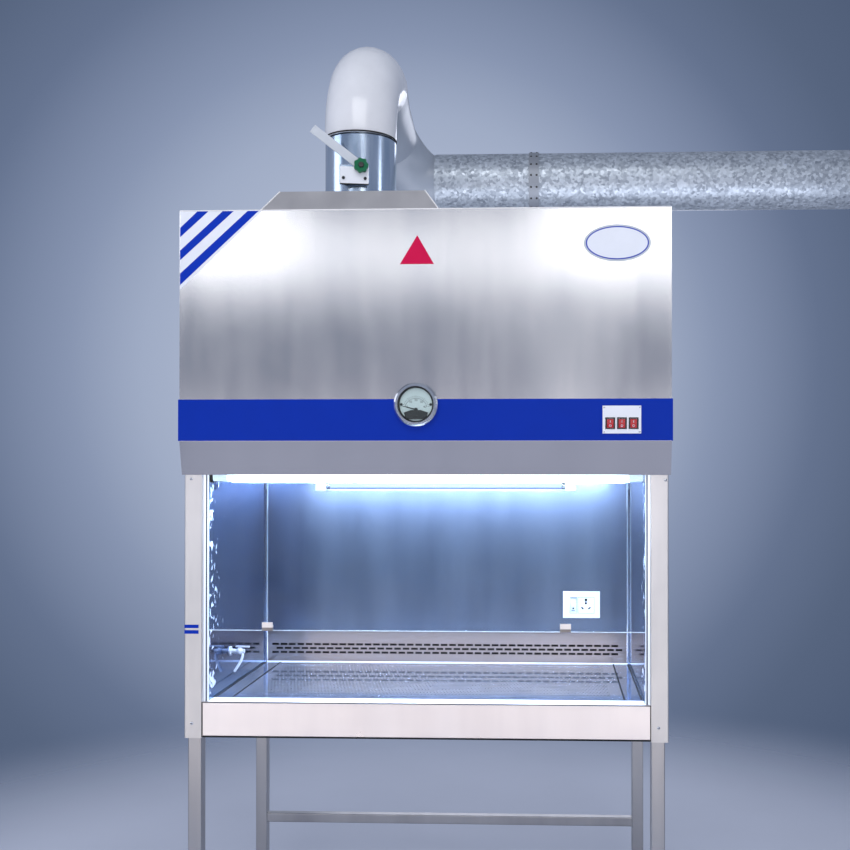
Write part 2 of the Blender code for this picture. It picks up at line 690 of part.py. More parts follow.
def build_sash():
    """Glass sash with its clips and top rail, its guides, and its counterweights on cables."""
    bottom = WORK_HEIGHT + SASH_OPENING
    top = bottom + SASH_HEIGHT
    guide_face = GLASS_MIDPLANE - GUIDE_SLOT - CASE_SHEET
    guide_back = GLASS_MIDPLANE + GUIDE_SLOT + CASE_SHEET
    guide_tip = HALF_CHAMBER + CASE_SHEET
    web = GUIDE_OUT - CASE_SHEET
    half = web - 2 * GAP
    block("sash_glass", (-half, GLASS_MIDPLANE - GLASS_THICKNESS / 2, bottom),
          (half, GLASS_MIDPLANE + GLASS_THICKNESS / 2, top), "glass", edge=0.0006)

    guide_top = top + SASH_RAISE + 0.001
    for side, sign in (("left", -1), ("right", 1)):
        path = [(guide_tip, guide_face), (GUIDE_OUT, guide_face), (GUIDE_OUT, guide_back), (guide_tip, guide_back)]
        outline = [(sign * x, y) for x, y in folded(path, CASE_SHEET)]
        extrusion("sash_guide_" + side, [outline], "Z", WORK_HEIGHT + GAP, guide_top, "stainless")

    lip = GLASS_THICKNESS / 2 + GAP
    for side, x in (("left", CLIP_LEFT_X), ("right", CLIP_RIGHT_X)):
        front = GLASS_MIDPLANE - lip - CASE_SHEET
        back = GLASS_MIDPLANE + lip + CASE_SHEET
        low = bottom - GAP - CASE_SHEET
        path = [(back, bottom + CLIP_HEIGHT * 0.6), (back, low), (front, low), (front, bottom + CLIP_HEIGHT)]
        outline = folded(path[::-1], CASE_SHEET)
        extrusion("sash_clip_" + side, [outline], "X", x - CLIP_WIDTH / 2, x + CLIP_WIDTH / 2, "stainless")

    front = GLASS_MIDPLANE - lip - CASE_SHEET
    back = GLASS_MIDPLANE + lip + CASE_SHEET
    rail_top = top + GAP + CASE_SHEET
    path = [(front, top - CLIP_HEIGHT), (front, rail_top), (back, rail_top), (back, top - CLIP_HEIGHT)]
    outline = folded(path[::-1], CASE_SHEET)
    reach = guide_tip - 2 * CASE_SHEET
    extrusion("sash_top_rail", [outline], "X", -reach, reach, "stainless")

    sash_side = HALF_CHAMBER - CABLE_INSET
    weight_side = (POST_IN + POST_OUT) / 2
    radius = (weight_side - sash_side) / 2
    pulley_x = (weight_side + sash_side) / 2
    pulley_z = CANOPY_TOP - PULLEY_BELOW_CANOPY
    weight_bottom = BASE_Z + LEG_INSERTION + 0.005 + SASH_RAISE
    weight_top = weight_bottom + WEIGHT_LENGTH
    weight_y0 = POST_WALL + GAP
    weight_y1 = 2 * GLASS_MIDPLANE - weight_y0
    groove = radius - CABLE_RADIUS - GAP
    rim = radius + PULLEY_FLANGE
    half_width = PULLEY_WIDTH / 2
    inner = CABLE_RADIUS + GAP
    for side, sign in (("left", -1), ("right", 1)):
        block("counterweight_" + side,
              (sign * weight_side - WEIGHT_WIDTH / 2, weight_y0, weight_bottom),
              (sign * weight_side + WEIGHT_WIDTH / 2, weight_y1, weight_top), "cast_weight", edge=0.002)
        profile = [(PIN_RADIUS + GAP, half_width), (rim, half_width), (rim, inner + 0.001),
                   (groove, inner), (groove, -inner), (rim, -inner - 0.001),
                   (rim, -half_width), (PIN_RADIUS + GAP, -half_width)]
        turned("pulley_" + side, profile, "white_plastic",
               (sign * pulley_x, GLASS_MIDPLANE, pulley_z), TURN["Y"], closed=True, steps=24)
        arc = []
        for i in range(13):
            angle = math.pi * i / 12
            arc.append((sign * (pulley_x - radius * math.cos(angle)), GLASS_MIDPLANE,
                        pulley_z + radius * math.sin(angle)))
        route = [(sign * sash_side, GLASS_MIDPLANE, rail_top + GAP)] + arc
        route.append((sign * weight_side, GLASS_MIDPLANE, weight_top + GAP))
        tube("sash_cable_" + side, route, CABLE_RADIUS, 0.0, "dark_steel", resolution=1)

    web_y = POST_SIZE - POST_WALL
    path = [(0.0, CANOPY_INSIDE_TOP), (POST_SIZE, CANOPY_INSIDE_TOP), (POST_SIZE, POST_TOP + GAP)]
    outline = folded(path[::-1], CASE_SHEET)
    beam = baked(extrusion("pulley_beam", [outline], "X", -POST_OUT, POST_OUT, "stainless"))
    for side, sign in (("left", -1), ("right", 1)):
        shoulder = -(GLASS_MIDPLANE + half_width + GAP - web_y)
        reach = web_y - (GLASS_MIDPLANE - half_width) + 0.003
        pin = turned("pulley_pin_" + side,
                     [(0.0, reach), (PIN_RADIUS, reach), (PIN_RADIUS, shoulder), (0.007, shoulder),
                      (0.007, -POST_WALL / 2), (0.0, -POST_WALL / 2)], None,
                     (sign * pulley_x, web_y, pulley_z), TURN["Y"], steps=24)
        join(beam, pin)


def build_canopy():
    """The folded upper casing with its slanted lip, and the blue band round it."""
    mesh = bpy.data.meshes.new("canopy_casing")
    work = bmesh.new()
    bmesh.ops.create_cube(work, size=1.0)
    for vert in work.verts:
        vert.co.x *= 2 * CANOPY_HALF
        vert.co.y = -CANOPY_FRONT if vert.co.y < 0 else CASE_BACK
        vert.co.z = LIP_Z if vert.co.z < 0 else CANOPY_TOP
    open_faces = [face for face in work.faces if face.normal.z < -0.5 or face.normal.y > 0.5]
    bmesh.ops.delete(work, geom=open_faces, context="FACES")
    geometry = list(work.verts) + list(work.edges) + list(work.faces)
    bmesh.ops.bisect_plane(work, geom=geometry, plane_co=(0, 0, BAND_Z), plane_no=(0, 0, 1))
    for vert in work.verts:
        if vert.co.z < LIP_Z + 0.001 and vert.co.y < 0:
            vert.co.y += LIP_SLANT
    work.to_mesh(mesh)
    work.free()
    casing = shell(place("canopy_casing", mesh, "stainless", (0, 0, 0)), CASE_SHEET)

    gauge_z = LIP_Z + GAUGE_RISE
    bore = GAUGE_CASE_RADIUS + GAP
    hole = rod("gauge_cutout", bore, -0.02, 0.02, None, (GAUGE_X, -CANOPY_FRONT, gauge_z), TURN["Y"], steps=48)
    z = BAND_MIDDLE_Z - ROCKER_DROP
    half = ROCKER_PITCH + BEZEL_WIDTH / 2 - 0.001
    tall = BEZEL_HEIGHT / 2 - 0.001
    window = block("switch_cutout", (SWITCH_X - half - GAP, -CANOPY_FRONT - 0.02, z - tall - GAP),
                   (SWITCH_X + half + GAP, -CANOPY_FRONT + 0.02, z + tall + GAP))
    half_x = HOOD_TOP_WIDTH / 2
    half_y = HOOD_TOP_DEPTH / 2
    exhaust = block("exhaust_cutout", (EXHAUST_X - half_x, EXHAUST_Y - half_y, CANOPY_TOP - 0.02),
                    (EXHAUST_X + half_x, EXHAUST_Y + half_y, CANOPY_TOP + 0.02))
    cut(casing, hole, window, exhaust)

    reach = CANOPY_HALF + GAP + BAND_THICKNESS
    path = [(-reach, CASE_BACK), (-reach, BAND_FACE), (reach, BAND_FACE), (reach, CASE_BACK)]
    outline = folded(path, BAND_THICKNESS)
    band = baked(extrusion("blue_band", [outline], "Z", BAND_Z, BAND_Z + BAND_HEIGHT, "blue_band"))
    cut(band, hole, window)


def build_gauge():
    """Round pressure gauge: case with its bezel, pointer and lens. Local +Z looks at the user."""
    z = LIP_Z + GAUGE_RISE
    place_at = (GAUGE_X, BAND_FACE - GAP, z)
    profile = [(0.0, DIAL_DEPTH), (DIAL_RADIUS, DIAL_DEPTH), (DIAL_RADIUS, BEZEL_DEPTH),
               (DIAL_RADIUS + 0.006, BEZEL_DEPTH), (BEZEL_RADIUS, BEZEL_DEPTH - 0.005), (BEZEL_RADIUS, 0.0),
               (GAUGE_CASE_RADIUS, 0.0), (GAUGE_CASE_RADIUS, -GAUGE_CASE_DEPTH), (0.0, -GAUGE_CASE_DEPTH)]
    turned("gauge_case", profile, "stainless", place_at, TURN["Y"], steps=48)
    front = BEZEL_DEPTH - 0.001
    rod("gauge_lens", DIAL_RADIUS - GAP, front - LENS_THICKNESS, front, "glass", place_at, TURN["Y"], steps=48)

    pivot = (GAUGE_X, BAND_FACE - GAP - DIAL_DEPTH - GAP, z - POINTER_DROP)
    hub = 0.005
    outline = []
    for i in range(17):
        angle = math.radians(110 + 320 * i / 16)
        outline.append((hub * math.cos(angle), hub * math.sin(angle)))
    outline += [(0.0006, POINTER_LENGTH), (-0.0006, POINTER_LENGTH)]
    points = []
    for x, y in outline:
        px = x * math.cos(POINTER_REST) - y * math.sin(POINTER_REST)
        py = x * math.sin(POINTER_REST) + y * math.cos(POINTER_REST)
        points.append((pivot[0] + px, pivot[2] + py))
    extrusion("gauge_pointer", [points], "Y", pivot[1] - 0.002, pivot[1], "black_plastic", origin=pivot)


def build_switches():
    """Switch plate on the band, with three bezels and their rockers."""
    z = BAND_MIDDLE_Z
    back = BAND_FACE - GAP
    plate = block("switch_plate", (SWITCH_X - SWITCH_WIDTH / 2, back - SWITCH_PLATE, z - SWITCH_HEIGHT / 2),
                  (SWITCH_X + SWITCH_WIDTH / 2, back, z + SWITCH_HEIGHT / 2), "white_plastic")
    low = z - ROCKER_DROP
    half = ROCKER_PITCH + BEZEL_WIDTH / 2 - 0.001
    tall = BEZEL_HEIGHT / 2 - 0.001
    body = block("switch_body", (SWITCH_X - half, back - SWITCH_PLATE / 2, low - tall),
                 (SWITCH_X + half, back + SWITCH_BODY_DEPTH, low + tall))
    join(plate, body)
    face = back - SWITCH_PLATE - BEZEL_PROUD
    pivot_y = face + ROCKER_PIVOT
    tools = []
    for number in (1, 2, 3):
        x = SWITCH_X + (number - 2) * ROCKER_PITCH
        bezel = block("rocker_bezel_%d" % number, (x - BEZEL_WIDTH / 2, face, low - BEZEL_HEIGHT / 2),
                      (x + BEZEL_WIDTH / 2, back - SWITCH_PLATE / 2, low + BEZEL_HEIGHT / 2))
        join(plate, bezel)
        half_x = ROCKER_WIDTH / 2 + 2 * GAP
        half_z = ROCKER_HEIGHT / 2 + 0.0015
        tools.append(block("rocker_recess_%d" % number, (x - half_x, face - 0.01, low - half_z),
                           (x + half_x, pivot_y + 0.009, low + half_z)))
        rocker("rocker_%d" % number, (x, pivot_y, low), ROCKER_WIDTH, ROCKER_HEIGHT, ROCKER_PIVOT, "red_rocker")
    cut(plate, *tools)


def rocker(name, pivot, width, height, rise, finish_name):
    """A rocker key tilted on its pivot; its faces slope up to each end."""
    tall = height / 2
    section = [(-rise - 0.0006, -tall), (-rise + 0.0008, 0.0), (-rise - 0.0006, tall),
               (0.0, tall - 0.001), (rise + 0.001, tall * 0.4), (rise + 0.001, -tall * 0.4), (0.0, -tall + 0.001)]
    points = []
    for y, z in section:
        ty = y * math.cos(ROCKER_TILT) - z * math.sin(ROCKER_TILT)
        tz = y * math.sin(ROCKER_TILT) + z * math.cos(ROCKER_TILT)
        points.append((pivot[1] + ty, pivot[2] + tz))
    extrusion(name, [points], "X", pivot[0] - width / 2, pivot[0] + width / 2, finish_name, origin=pivot)


def build_fittings():
    """Socket, lamps and service valve inside the chamber."""
    wall = CHAMBER_DEPTH - GAP
    z = WORK_HEIGHT + SOCKET_RISE
    face = wall - SOCKET_PROUD
    plate = block("socket_plate", (SOCKET_X - SOCKET_WIDTH / 2, face, z - SOCKET_HEIGHT / 2),
                  (SOCKET_X + SOCKET_WIDTH / 2, wall, z + SOCKET_HEIGHT / 2), "white_plastic")
    half_x = SOCKET_WIDTH / 2 - 0.010 - GAP
    half_z = SOCKET_HEIGHT / 2 - 0.010 - GAP
    body = block("socket_body", (SOCKET_X - half_x, face + 0.002, z - half_z),
                 (SOCKET_X + half_x, wall + SOCKET_BODY_DEPTH, z + half_z))
    join(plate, body)
    socket_x = SOCKET_X + SOCKET_OFFSET
    drop = 0.0112
    holes = []
    for name, x, hole_z, radius in (("earth", socket_x, z + drop, EARTH_HOLE_RADIUS),
                                    ("live", socket_x + PIN_HOLE_SPACING / 2, z - drop, PIN_HOLE_RADIUS),
                                    ("neutral", socket_x - PIN_HOLE_SPACING / 2, z - drop, PIN_HOLE_RADIUS)):
        holes.append(rod("hole_" + name, radius, -PIN_HOLE_DEPTH, 0.01, None, (x, face, hole_z), TURN["Y"], steps=16))
    switch_x = SOCKET_X - WALL_SWITCH_OFFSET
    clear = WALL_SWITCH_HEIGHT / 2 + 0.002
    holes.append(block("wall_switch_recess", (switch_x - WALL_SWITCH_WIDTH / 2 - GAP, face - 0.01, z - clear),
                       (switch_x + WALL_SWITCH_WIDTH / 2 + GAP, face + 0.016, z + clear)))
    cut(plate, *holes)
    rocker("wall_switch", (switch_x, face + 0.006, z), WALL_SWITCH_WIDTH, WALL_SWITCH_HEIGHT, 0.006, "white_plastic")

    lamp_z = CEILING_Z - UV_LAMP_BELOW_CEILING
    lamp_y = wall - UV_LAMP_OFF_WALL
    end = UV_LAMP_LENGTH / 2
    inner = end - UV_HOLDER_WIDTH
    back = wall - 0.010
    tip = lamp_y - LAMP_RADIUS - 0.002
    outline = [(-end, wall), (-end, tip), (-inner, tip), (-inner, back), (inner, back), (inner, tip),
               (end, tip), (end, wall)]
    extrusion("uv_lamp_fitting", [outline], "Z", lamp_z - 0.018, lamp_z + 0.017, "white_plastic")
    reach = inner - GAP
    lamp("uv_lamp", (0.0, lamp_y, lamp_z), reach)

    work_z = CEILING_Z + WORK_LAMP_DROP
    work_y = TROUGH_FRONT + TROUGH_DEPTH / 2
    reach = WORK_LAMP_LENGTH / 2
    tube_lamp = lamp("work_lamp", (0.0, work_y, work_z), reach)
    roof = CEILING_Z + TROUGH_HEIGHT - GAP
    for side, sign in (("left", -1), ("right", 1)):
        x = sign * (reach - 0.008)
        join(tube_lamp, block("lamp_holder_" + side, (x - 0.006, work_y - 0.011, work_z),
                              (x + 0.006, work_y + 0.011, roof)))

    valve = (-HALF_CHAMBER + GAP, VALVE_Y, WORK_HEIGHT + VALVE_RISE)
    ball = 0.030
    profile = [(0.0, VALVE_REACH), (0.006, VALVE_REACH), (0.007, VALVE_REACH - 0.002)]
    for i in range(7):
        angle = math.radians(50 - 100 * i / 6)
        profile.append((VALVE_BALL * math.cos(angle), ball + VALVE_BALL * math.sin(angle)))
    profile += [(0.007, 0.014), (0.007, 0.005), (0.014, 0.004), (0.014, 0.0),
                (VALVE_STUB, 0.0), (VALVE_STUB, -0.020), (0.0, -0.020)]
    body = turned("valve_body", profile, "white_plastic", valve, (0.0, math.pi / 2, 0.0), steps=16)
    start = Vector((valve[0] + VALVE_REACH - 0.009, valve[1], valve[2]))
    bend = [(0.0, 0.0, 0.0), (0.004, -0.004, -0.012), (0.002, -0.009, -0.024),
            (-0.004, -0.013, -0.036), (-0.011, -0.016, -0.048), (-0.017, -0.018, -0.058)]
    spout = tube("valve_spout", [start + Vector(step) for step in bend], SPOUT_RADIUS, 0.0, "white_plastic", 2)
    PARTS.objects.unlink(spout)
    CUTTERS.objects.link(spout)
    spout.hide_render = True
    spout.display_type = "WIRE"
    join(body, spout)
    pivot = (valve[0] + ball, valve[1], valve[2] + VALVE_BALL + GAP)
    points = []
    for i in range(9):
        angle = math.radians(90 + 180 * i / 8)
        points.append((pivot[0] - 0.008 + 0.005 * math.cos(angle), pivot[1] + 0.005 * math.sin(angle)))
    for i in range(9):
        angle = math.radians(-90 + 180 * i / 8)
        points.append((pivot[0] - 0.008 + VALVE_LEVER + 0.004 * math.cos(angle), pivot[1] + 0.004 * math.sin(angle)))
    extrusion("valve_handle", [points], "Z", pivot[2], pivot[2] + 0.004, "white_plastic", origin=pivot)


def lamp(name, middle, reach):
    """A straight lamp tube along X with a narrower cap at each end."""
    cap = 0.010
    profile = [(0.0, reach), (LAMP_RADIUS - 0.002, reach), (LAMP_RADIUS - 0.002, reach - cap),
               (LAMP_RADIUS, reach - cap - 0.004), (LAMP_RADIUS, -reach + cap + 0.004),
               (LAMP_RADIUS - 0.002, -reach + cap), (LAMP_RADIUS - 0.002, -reach), (0.0, -reach)]
    return turned(name, profile, "lamp_glass", middle, (0.0, math.pi / 2, 0.0), steps=24)


def build_air_system():
    """Filters, plenum, blower housing, impeller and motor inside the canopy."""
    y0 = TROUGH_FRONT + TROUGH_DEPTH + CASE_SHEET + GAP
    y1 = CHAMBER_DEPTH + LINER_SHEET
    z0 = CEILING_Z + CASE_SHEET + GAP
    z1 = z0 + SUPPLY_FILTER_HEIGHT
    half = HALF_CHAMBER
    extrusion("supply_filter", [pleated(-half, half, z0, z1)], "Y", y0, y1, "filter_paper")
    top = z1 + GAP + PLENUM_HEIGHT
    plenum = lofted("plenum", [(-half, half, y0, y1, z1 + GAP), (-half, half, y0, y1, top)],
                    "liner_steel", CASE_SHEET, cap_end=True)

    right = EXHAUST_X + EXHAUST_FILTER_WIDTH / 2
    left = EXHAUST_X - EXHAUST_FILTER_WIDTH / 2
    extrusion("exhaust_filter",
              [pleated(left, right, CANOPY_INSIDE_TOP - EXHAUST_FILTER_HEIGHT, CANOPY_INSIDE_TOP)], "Y",
              EXHAUST_Y - EXHAUST_FILTER_DEPTH / 2, EXHAUST_Y + EXHAUST_FILTER_DEPTH / 2, "filter_paper")

    scroll = IMPELLER_RADIUS + SCROLL_CLEARANCE
    floor = top + GAP
    axis_z = floor + scroll + SCROLL_GROWTH + 0.020

    def spiral(inset):
        """Scroll outline: it widens from the tongue round to the outlet, which points down."""
        points = []
        for i in range(33):
            turn = i / 32
            radius = scroll + SCROLL_GROWTH * turn - inset
            angle = math.radians(-20 - 250 * turn)
            points.append((BLOWER_Y - radius * math.cos(angle), axis_z - radius * math.sin(angle)))
        return points

    outer = spiral(0.0)
    inner = spiral(CASE_SHEET)
    shape = outer + [(outer[-1][0], floor), (outer[0][0], floor)]
    throat = outer[-1][0] - CASE_SHEET
    hollow = inner[:-1] + [(throat, inner[-1][1]), (throat, floor - 0.02), (inner[0][0], floor - 0.02)]
    x0 = BLOWER_X - BLOWER_WIDTH / 2
    x1 = BLOWER_X + BLOWER_WIDTH / 2
    housing = baked(extrusion("blower_housing", [shape], "X", x0, x1, "liner_steel"))
    room = baked(extrusion("blower_room", [hollow], "X", x0 + CASE_SHEET, x1 - CASE_SHEET))
    inlet = rod("blower_inlet", IMPELLER_INNER_RADIUS, -0.02, 0.02, None, (x0, BLOWER_Y, axis_z),
                (0.0, math.pi / 2, 0.0), steps=32)
    shaft_hole = rod("shaft_hole", SHAFT_RADIUS + GAP, -0.02, 0.02, None, (x1, BLOWER_Y, axis_z),
                     (0.0, math.pi / 2, 0.0), steps=16)
    cut(housing, room, inlet, shaft_hole)
    outlet = block("plenum_inlet", (x0 + CASE_SHEET, inner[0][0], top - 0.02), (x1 - CASE_SHEET, throat, top + 0.02))
    cut(plenum, outlet)
    build_impeller((BLOWER_X, BLOWER_Y, axis_z))

    bore = SHAFT_RADIUS + GAP
    profile = [(0.0, MOTOR_LENGTH), (MOTOR_RADIUS - 0.01, MOTOR_LENGTH), (MOTOR_RADIUS, MOTOR_LENGTH - 0.01),
               (MOTOR_RADIUS, 0.006), (MOTOR_RADIUS + 0.015, 0.006), (MOTOR_RADIUS + 0.015, 0.0),
               (bore, 0.0), (bore, SHAFT_IN_MOTOR + GAP), (0.0, SHAFT_IN_MOTOR + GAP)]
    turned("blower_motor", profile, "dark_steel", (x1 + GAP, BLOWER_Y, axis_z), (0.0, math.pi / 2, 0.0), steps=32)


def build_impeller(axis_point):
    """Forward-curved squirrel-cage wheel: back plate with hub, blades and front ring."""
    back = IMPELLER_WIDTH / 2
    front = -IMPELLER_WIDTH / 2
    shaft_end = BLOWER_WIDTH / 2 + GAP + SHAFT_IN_MOTOR
    plate = [(0.0, shaft_end), (SHAFT_RADIUS, shaft_end), (SHAFT_RADIUS, back), (IMPELLER_RADIUS, back),
             (IMPELLER_RADIUS, back - 0.003), (HUB_RADIUS, back - 0.003), (HUB_RADIUS, back - HUB_LENGTH),
             (0.0, back - HUB_LENGTH)]
    turn = (0.0, math.pi / 2, 0.0)
    wheel = turned("blower_impeller", plate, "galvanised", axis_point, turn, steps=32)
    ring = turned("impeller_ring", [(IMPELLER_INNER_RADIUS, front + 0.004), (IMPELLER_RADIUS, front + 0.004),
                                    (IMPELLER_RADIUS, front), (IMPELLER_INNER_RADIUS, front)],
                  None, axis_point, turn, closed=True, steps=32)
    curve = bpy.data.curves.new("impeller_blades", "CURVE")
    curve.dimensions = "2D"
    curve.fill_mode = "BOTH"
    curve.extrude = (IMPELLER_WIDTH - 0.004) / 2
    for number in range(BLADES):
        base_angle = 2 * math.pi * number / BLADES
        inner_edge = []
        outer_edge = []
        for i in range(3):
            share = i / 2
            radius = IMPELLER_INNER_RADIUS + 0.001 + share * (IMPELLER_RADIUS - IMPELLER_INNER_RADIUS - 0.002)
            angle = base_angle + 0.16 * share * share
            half = BLADE_THICKNESS / 2 / radius
            inner_edge.append((radius * math.cos(angle - half), radius * math.sin(angle - half)))
            outer_edge.append((radius * math.cos(angle + half), radius * math.sin(angle + half)))
        points = inner_edge + outer_edge[::-1]
        spline = curve.splines.new("POLY")
        spline.points.add(len(points) - 1)
        for target, point in zip(spline.points, points):
            target.co = (point[0], point[1], 0.0, 1.0)
        spline.use_cyclic_u = True
    blades = baked(place("impeller_blades", curve, None, axis_point, turn, cutter=True))
    join(wheel, blades, ring)


def build_exhaust():
    """Hood, collar with its damper, and the duct run behind it."""
    deck = CANOPY_TOP + HOOD_SEAT
    hood_top = CANOPY_TOP + HOOD_HEIGHT
    half_x = HOOD_TOP_WIDTH / 2
    half_y = HOOD_TOP_DEPTH / 2
    loops = []
    for grow, z in ((HOOD_SPREAD + HOOD_FLANGE, deck + CASE_SHEET), (HOOD_SPREAD, deck + CASE_SHEET), (0.0, hood_top)):
        loops.append((EXHAUST_X - half_x - grow, EXHAUST_X + half_x + grow,
                      EXHAUST_Y - half_y - grow, EXHAUST_Y + half_y + grow, z))
    hood = lofted("exhaust_hood", loops, "dark_steel", CASE_SHEET, cap_end=True, origin=(EXHAUST_X, EXHAUST_Y, deck))
    hole = rod("collar_hole", COLLAR_RADIUS + GAP, -0.02, 0.02, None, (EXHAUST_X, EXHAUST_Y, hood_top), steps=64)
    cut(hood, hole)

    damper_z = hood_top + DAMPER_ABOVE_HOOD
    pivot = bpy.data.objects.new("damper_axis", None)
    pivot.location = (EXHAUST_X, EXHAUST_Y, damper_z)
    pivot.rotation_euler = (0.0, 0.0, DAMPER_TURN)
    pivot.parent = CABINET
    PARTS.objects.link(pivot)

    rim = ELBOW_RIM_ABOVE_HOOD - DAMPER_ABOVE_HOOD + SOCKET_OVERLAP
    seat = -DAMPER_ABOVE_HOOD + GAP
    foot = -DAMPER_ABOVE_HOOD - COLLAR_BELOW_HOOD
    inside = COLLAR_RADIUS - DUCT_SHEET
    flange = COLLAR_RADIUS + COLLAR_FLANGE
    collar = turned("exhaust_collar",
                    [(inside, rim), (COLLAR_RADIUS, rim), (COLLAR_RADIUS, seat + 0.0015), (flange, seat + 0.0015),
                     (flange, seat), (COLLAR_RADIUS, seat), (COLLAR_RADIUS, foot), (inside, foot)],
                    "galvanised", (0, 0, 0), closed=True, steps=48, parent=pivot)

    front = -COLLAR_RADIUS - BRACKET_STANDOFF
    x0 = -BRACKET_OFFSET - BRACKET_WIDTH / 2
    x1 = -BRACKET_OFFSET + BRACKET_WIDTH / 2

    def on_collar(x):
        """Depth at which a web reaches half way into the collar's wall."""
        radius = COLLAR_RADIUS - DUCT_SHEET / 2
        return -math.sqrt(radius * radius - x * x)

    outline = [(x0, on_collar(x0)), (x0, front), (x1, front), (x1, on_collar(x1)),
               (x1 - BRACKET_SHEET, on_collar(x1 - BRACKET_SHEET)), (x1 - BRACKET_SHEET, front + BRACKET_SHEET),
               (x0 + BRACKET_SHEET, front + BRACKET_SHEET), (x0 + BRACKET_SHEET, on_collar(x0 + BRACKET_SHEET))]
    low = -BRACKET_DROP - BRACKET_HEIGHT / 2
    bracket = baked(extrusion("damper_bracket", [outline], "Z", low, low + BRACKET_HEIGHT, parent=pivot))
    join(collar, bracket)
    bore = rod("damper_bore", DAMPER_SHAFT_RADIUS + GAP, -COLLAR_RADIUS - 0.03, COLLAR_RADIUS + 0.03, None,
               (0, 0, 0), TURN["Y"], steps=24, parent=pivot)
    cut(collar, bore)

    lever_back = -front + GAP
    lever_front = lever_back + LEVER_THICKNESS
    stud = 0.004
    tip = lever_front + GAP + KNOB_THICKNESS + 0.004
    tail = -COLLAR_RADIUS - 0.010
    shaft = turned("damper_blade",
                   [(0.0, tip), (stud, tip), (stud, lever_front), (DAMPER_SHAFT_RADIUS, lever_front),
                    (DAMPER_SHAFT_RADIUS, tail), (0.0, tail)], "galvanised", (0, 0, 0), TURN["Y"],
                   steps=24, parent=pivot)
    radius = inside - BLADE_CLEARANCE
    blade = turned("damper_disc", [(0.0, 0.001), (radius, 0.001), (radius, -0.001), (0.0, -0.001)], None,
                   (0, 0, 0), (0.0, DAMPER_ANGLE, 0.0), steps=48, parent=pivot)
    join(shaft, blade)

    angle = math.pi - DAMPER_ANGLE
    along = Vector((math.cos(angle), math.sin(angle)))
    across = Vector((-along.y, along.x))
    half = LEVER_WIDTH / 2
    points = []
    for i in range(13):
        turn = math.radians(90 + 180 * i / 12)
        points.append(tuple(along * (half * math.cos(turn)) + across * (half * math.sin(turn))))
    points += [tuple(along * LEVER_LENGTH - across * half), tuple(along * LEVER_LENGTH + across * half)]
    hub = circle(0.0, 0.0, DAMPER_SHAFT_RADIUS + GAP)
    extrusion("damper_lever", [points, hub], "Y", -lever_front, -lever_back, "white_duct",
              origin=(0, 0, 0), parent=pivot)

    outline = []
    for i in range(KNOB_LOBES * 10):
        turn = 2 * math.pi * i / (KNOB_LOBES * 10)
        radius = KNOB_RADIUS * (0.93 + 0.07 * math.cos(KNOB_LOBES * turn))
        outline.append((radius * math.cos(turn), radius * math.sin(turn)))
    extrusion("damper_knob", [outline, circle(0.0, 0.0, stud + GAP)], "Y",
              -lever_front - GAP - KNOB_THICKNESS, -lever_front - GAP, "green_knob", origin=(0, 0, 0), parent=pivot)
    build_duct(hood_top)


def build_duct(hood_top):
    """White elbow, grey run to the rear and the main duct to the right."""
    rim = hood_top + ELBOW_RIM_ABOVE_HOOD
    elbow_radius = COLLAR_RADIUS + ELBOW_PLAY + ELBOW_WALL
    run_z = rim + ELBOW_SLEEVE + ELBOW_BEND
    points = [(EXHAUST_X, EXHAUST_Y, rim)]
    for i in range(13):
        turn = math.pi / 2 * i / 12
        points.append((EXHAUST_X, EXHAUST_Y + ELBOW_BEND * (1 - math.cos(turn)),
                       run_z - ELBOW_BEND + ELBOW_BEND * math.sin(turn)))
    end_y = EXHAUST_Y + ELBOW_BEND + ELBOW_SLEEVE
    points.append((EXHAUST_X, end_y, run_z))
    tube("duct_elbow", points, elbow_radius, ELBOW_WALL, "white_duct")

    start = Vector((EXHAUST_X, end_y - RUN_START_SLEEVE, run_z))
    middle = Vector((RUN_MIDDLE[0], RUN_MIDDLE[1], run_z - RUN_MIDDLE[2]))
    turn_point = Vector((RUN_TURN[0], RUN_TURN[1], run_z - RUN_TURN[2]))
    main_z = run_z - MAIN_DUCT_DROP
    route = [start, start + Vector((0.0, RUN_START_SLEEVE + 0.005, 0.0))]
    route += [start.lerp(middle, 0.5), middle, middle.lerp(turn_point, 0.6)]
    steps = 9
    for i in range(steps + 1):
        share = i / steps
        turn = math.pi / 2 * share
        ease = share * share * (3 - 2 * share)
        route.append(Vector((turn_point.x + RUN_BEND * (1 - math.cos(turn)),
                             turn_point.y + RUN_BEND * math.sin(turn),
                             turn_point.z + (main_z - turn_point.z) * ease)))
    end = route[-1] + Vector((0.030, 0.0, 0.0))
    route.append(end)
    run_radius = COLLAR_RADIUS
    tube("rear_duct", route, run_radius, DUCT_SHEET, "grey_duct")

    inside = run_radius + GAP
    outside = inside + DUCT_SHEET
    mouth = end.x - RUN_START_SLEEVE
    profile = [(inside, MAIN_DUCT_END), (outside, MAIN_DUCT_END),
               (outside, JOINT_BAND_START + JOINT_BAND_WIDTH),
               (outside + JOINT_BAND_PROUD, JOINT_BAND_START + JOINT_BAND_WIDTH - 0.004),
               (outside + JOINT_BAND_PROUD, JOINT_BAND_START + 0.004), (outside, JOINT_BAND_START),
               (outside, mouth), (inside, mouth)]
    turned("main_duct", profile, "galvanised", (0.0, end.y, end.z), (0.0, math.pi / 2, 0.0), closed=True, steps=48)


build_stand()
build_case()
build_chamber()
build_sash()
build_canopy()
build_gauge()
build_switches()
build_fittings()
build_air_system()
build_exhaust()
bpy.context.view_layer.update()
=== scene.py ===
"""Looks of the ducted biosafety cabinet: finishes, small fittings, studio and camera."""

import logging
import math
from dataclasses import dataclass
from enum import Enum
from typing import Any, Optional, Sequence

import bmesh
import bpy
from mathutils import Matrix, Vector

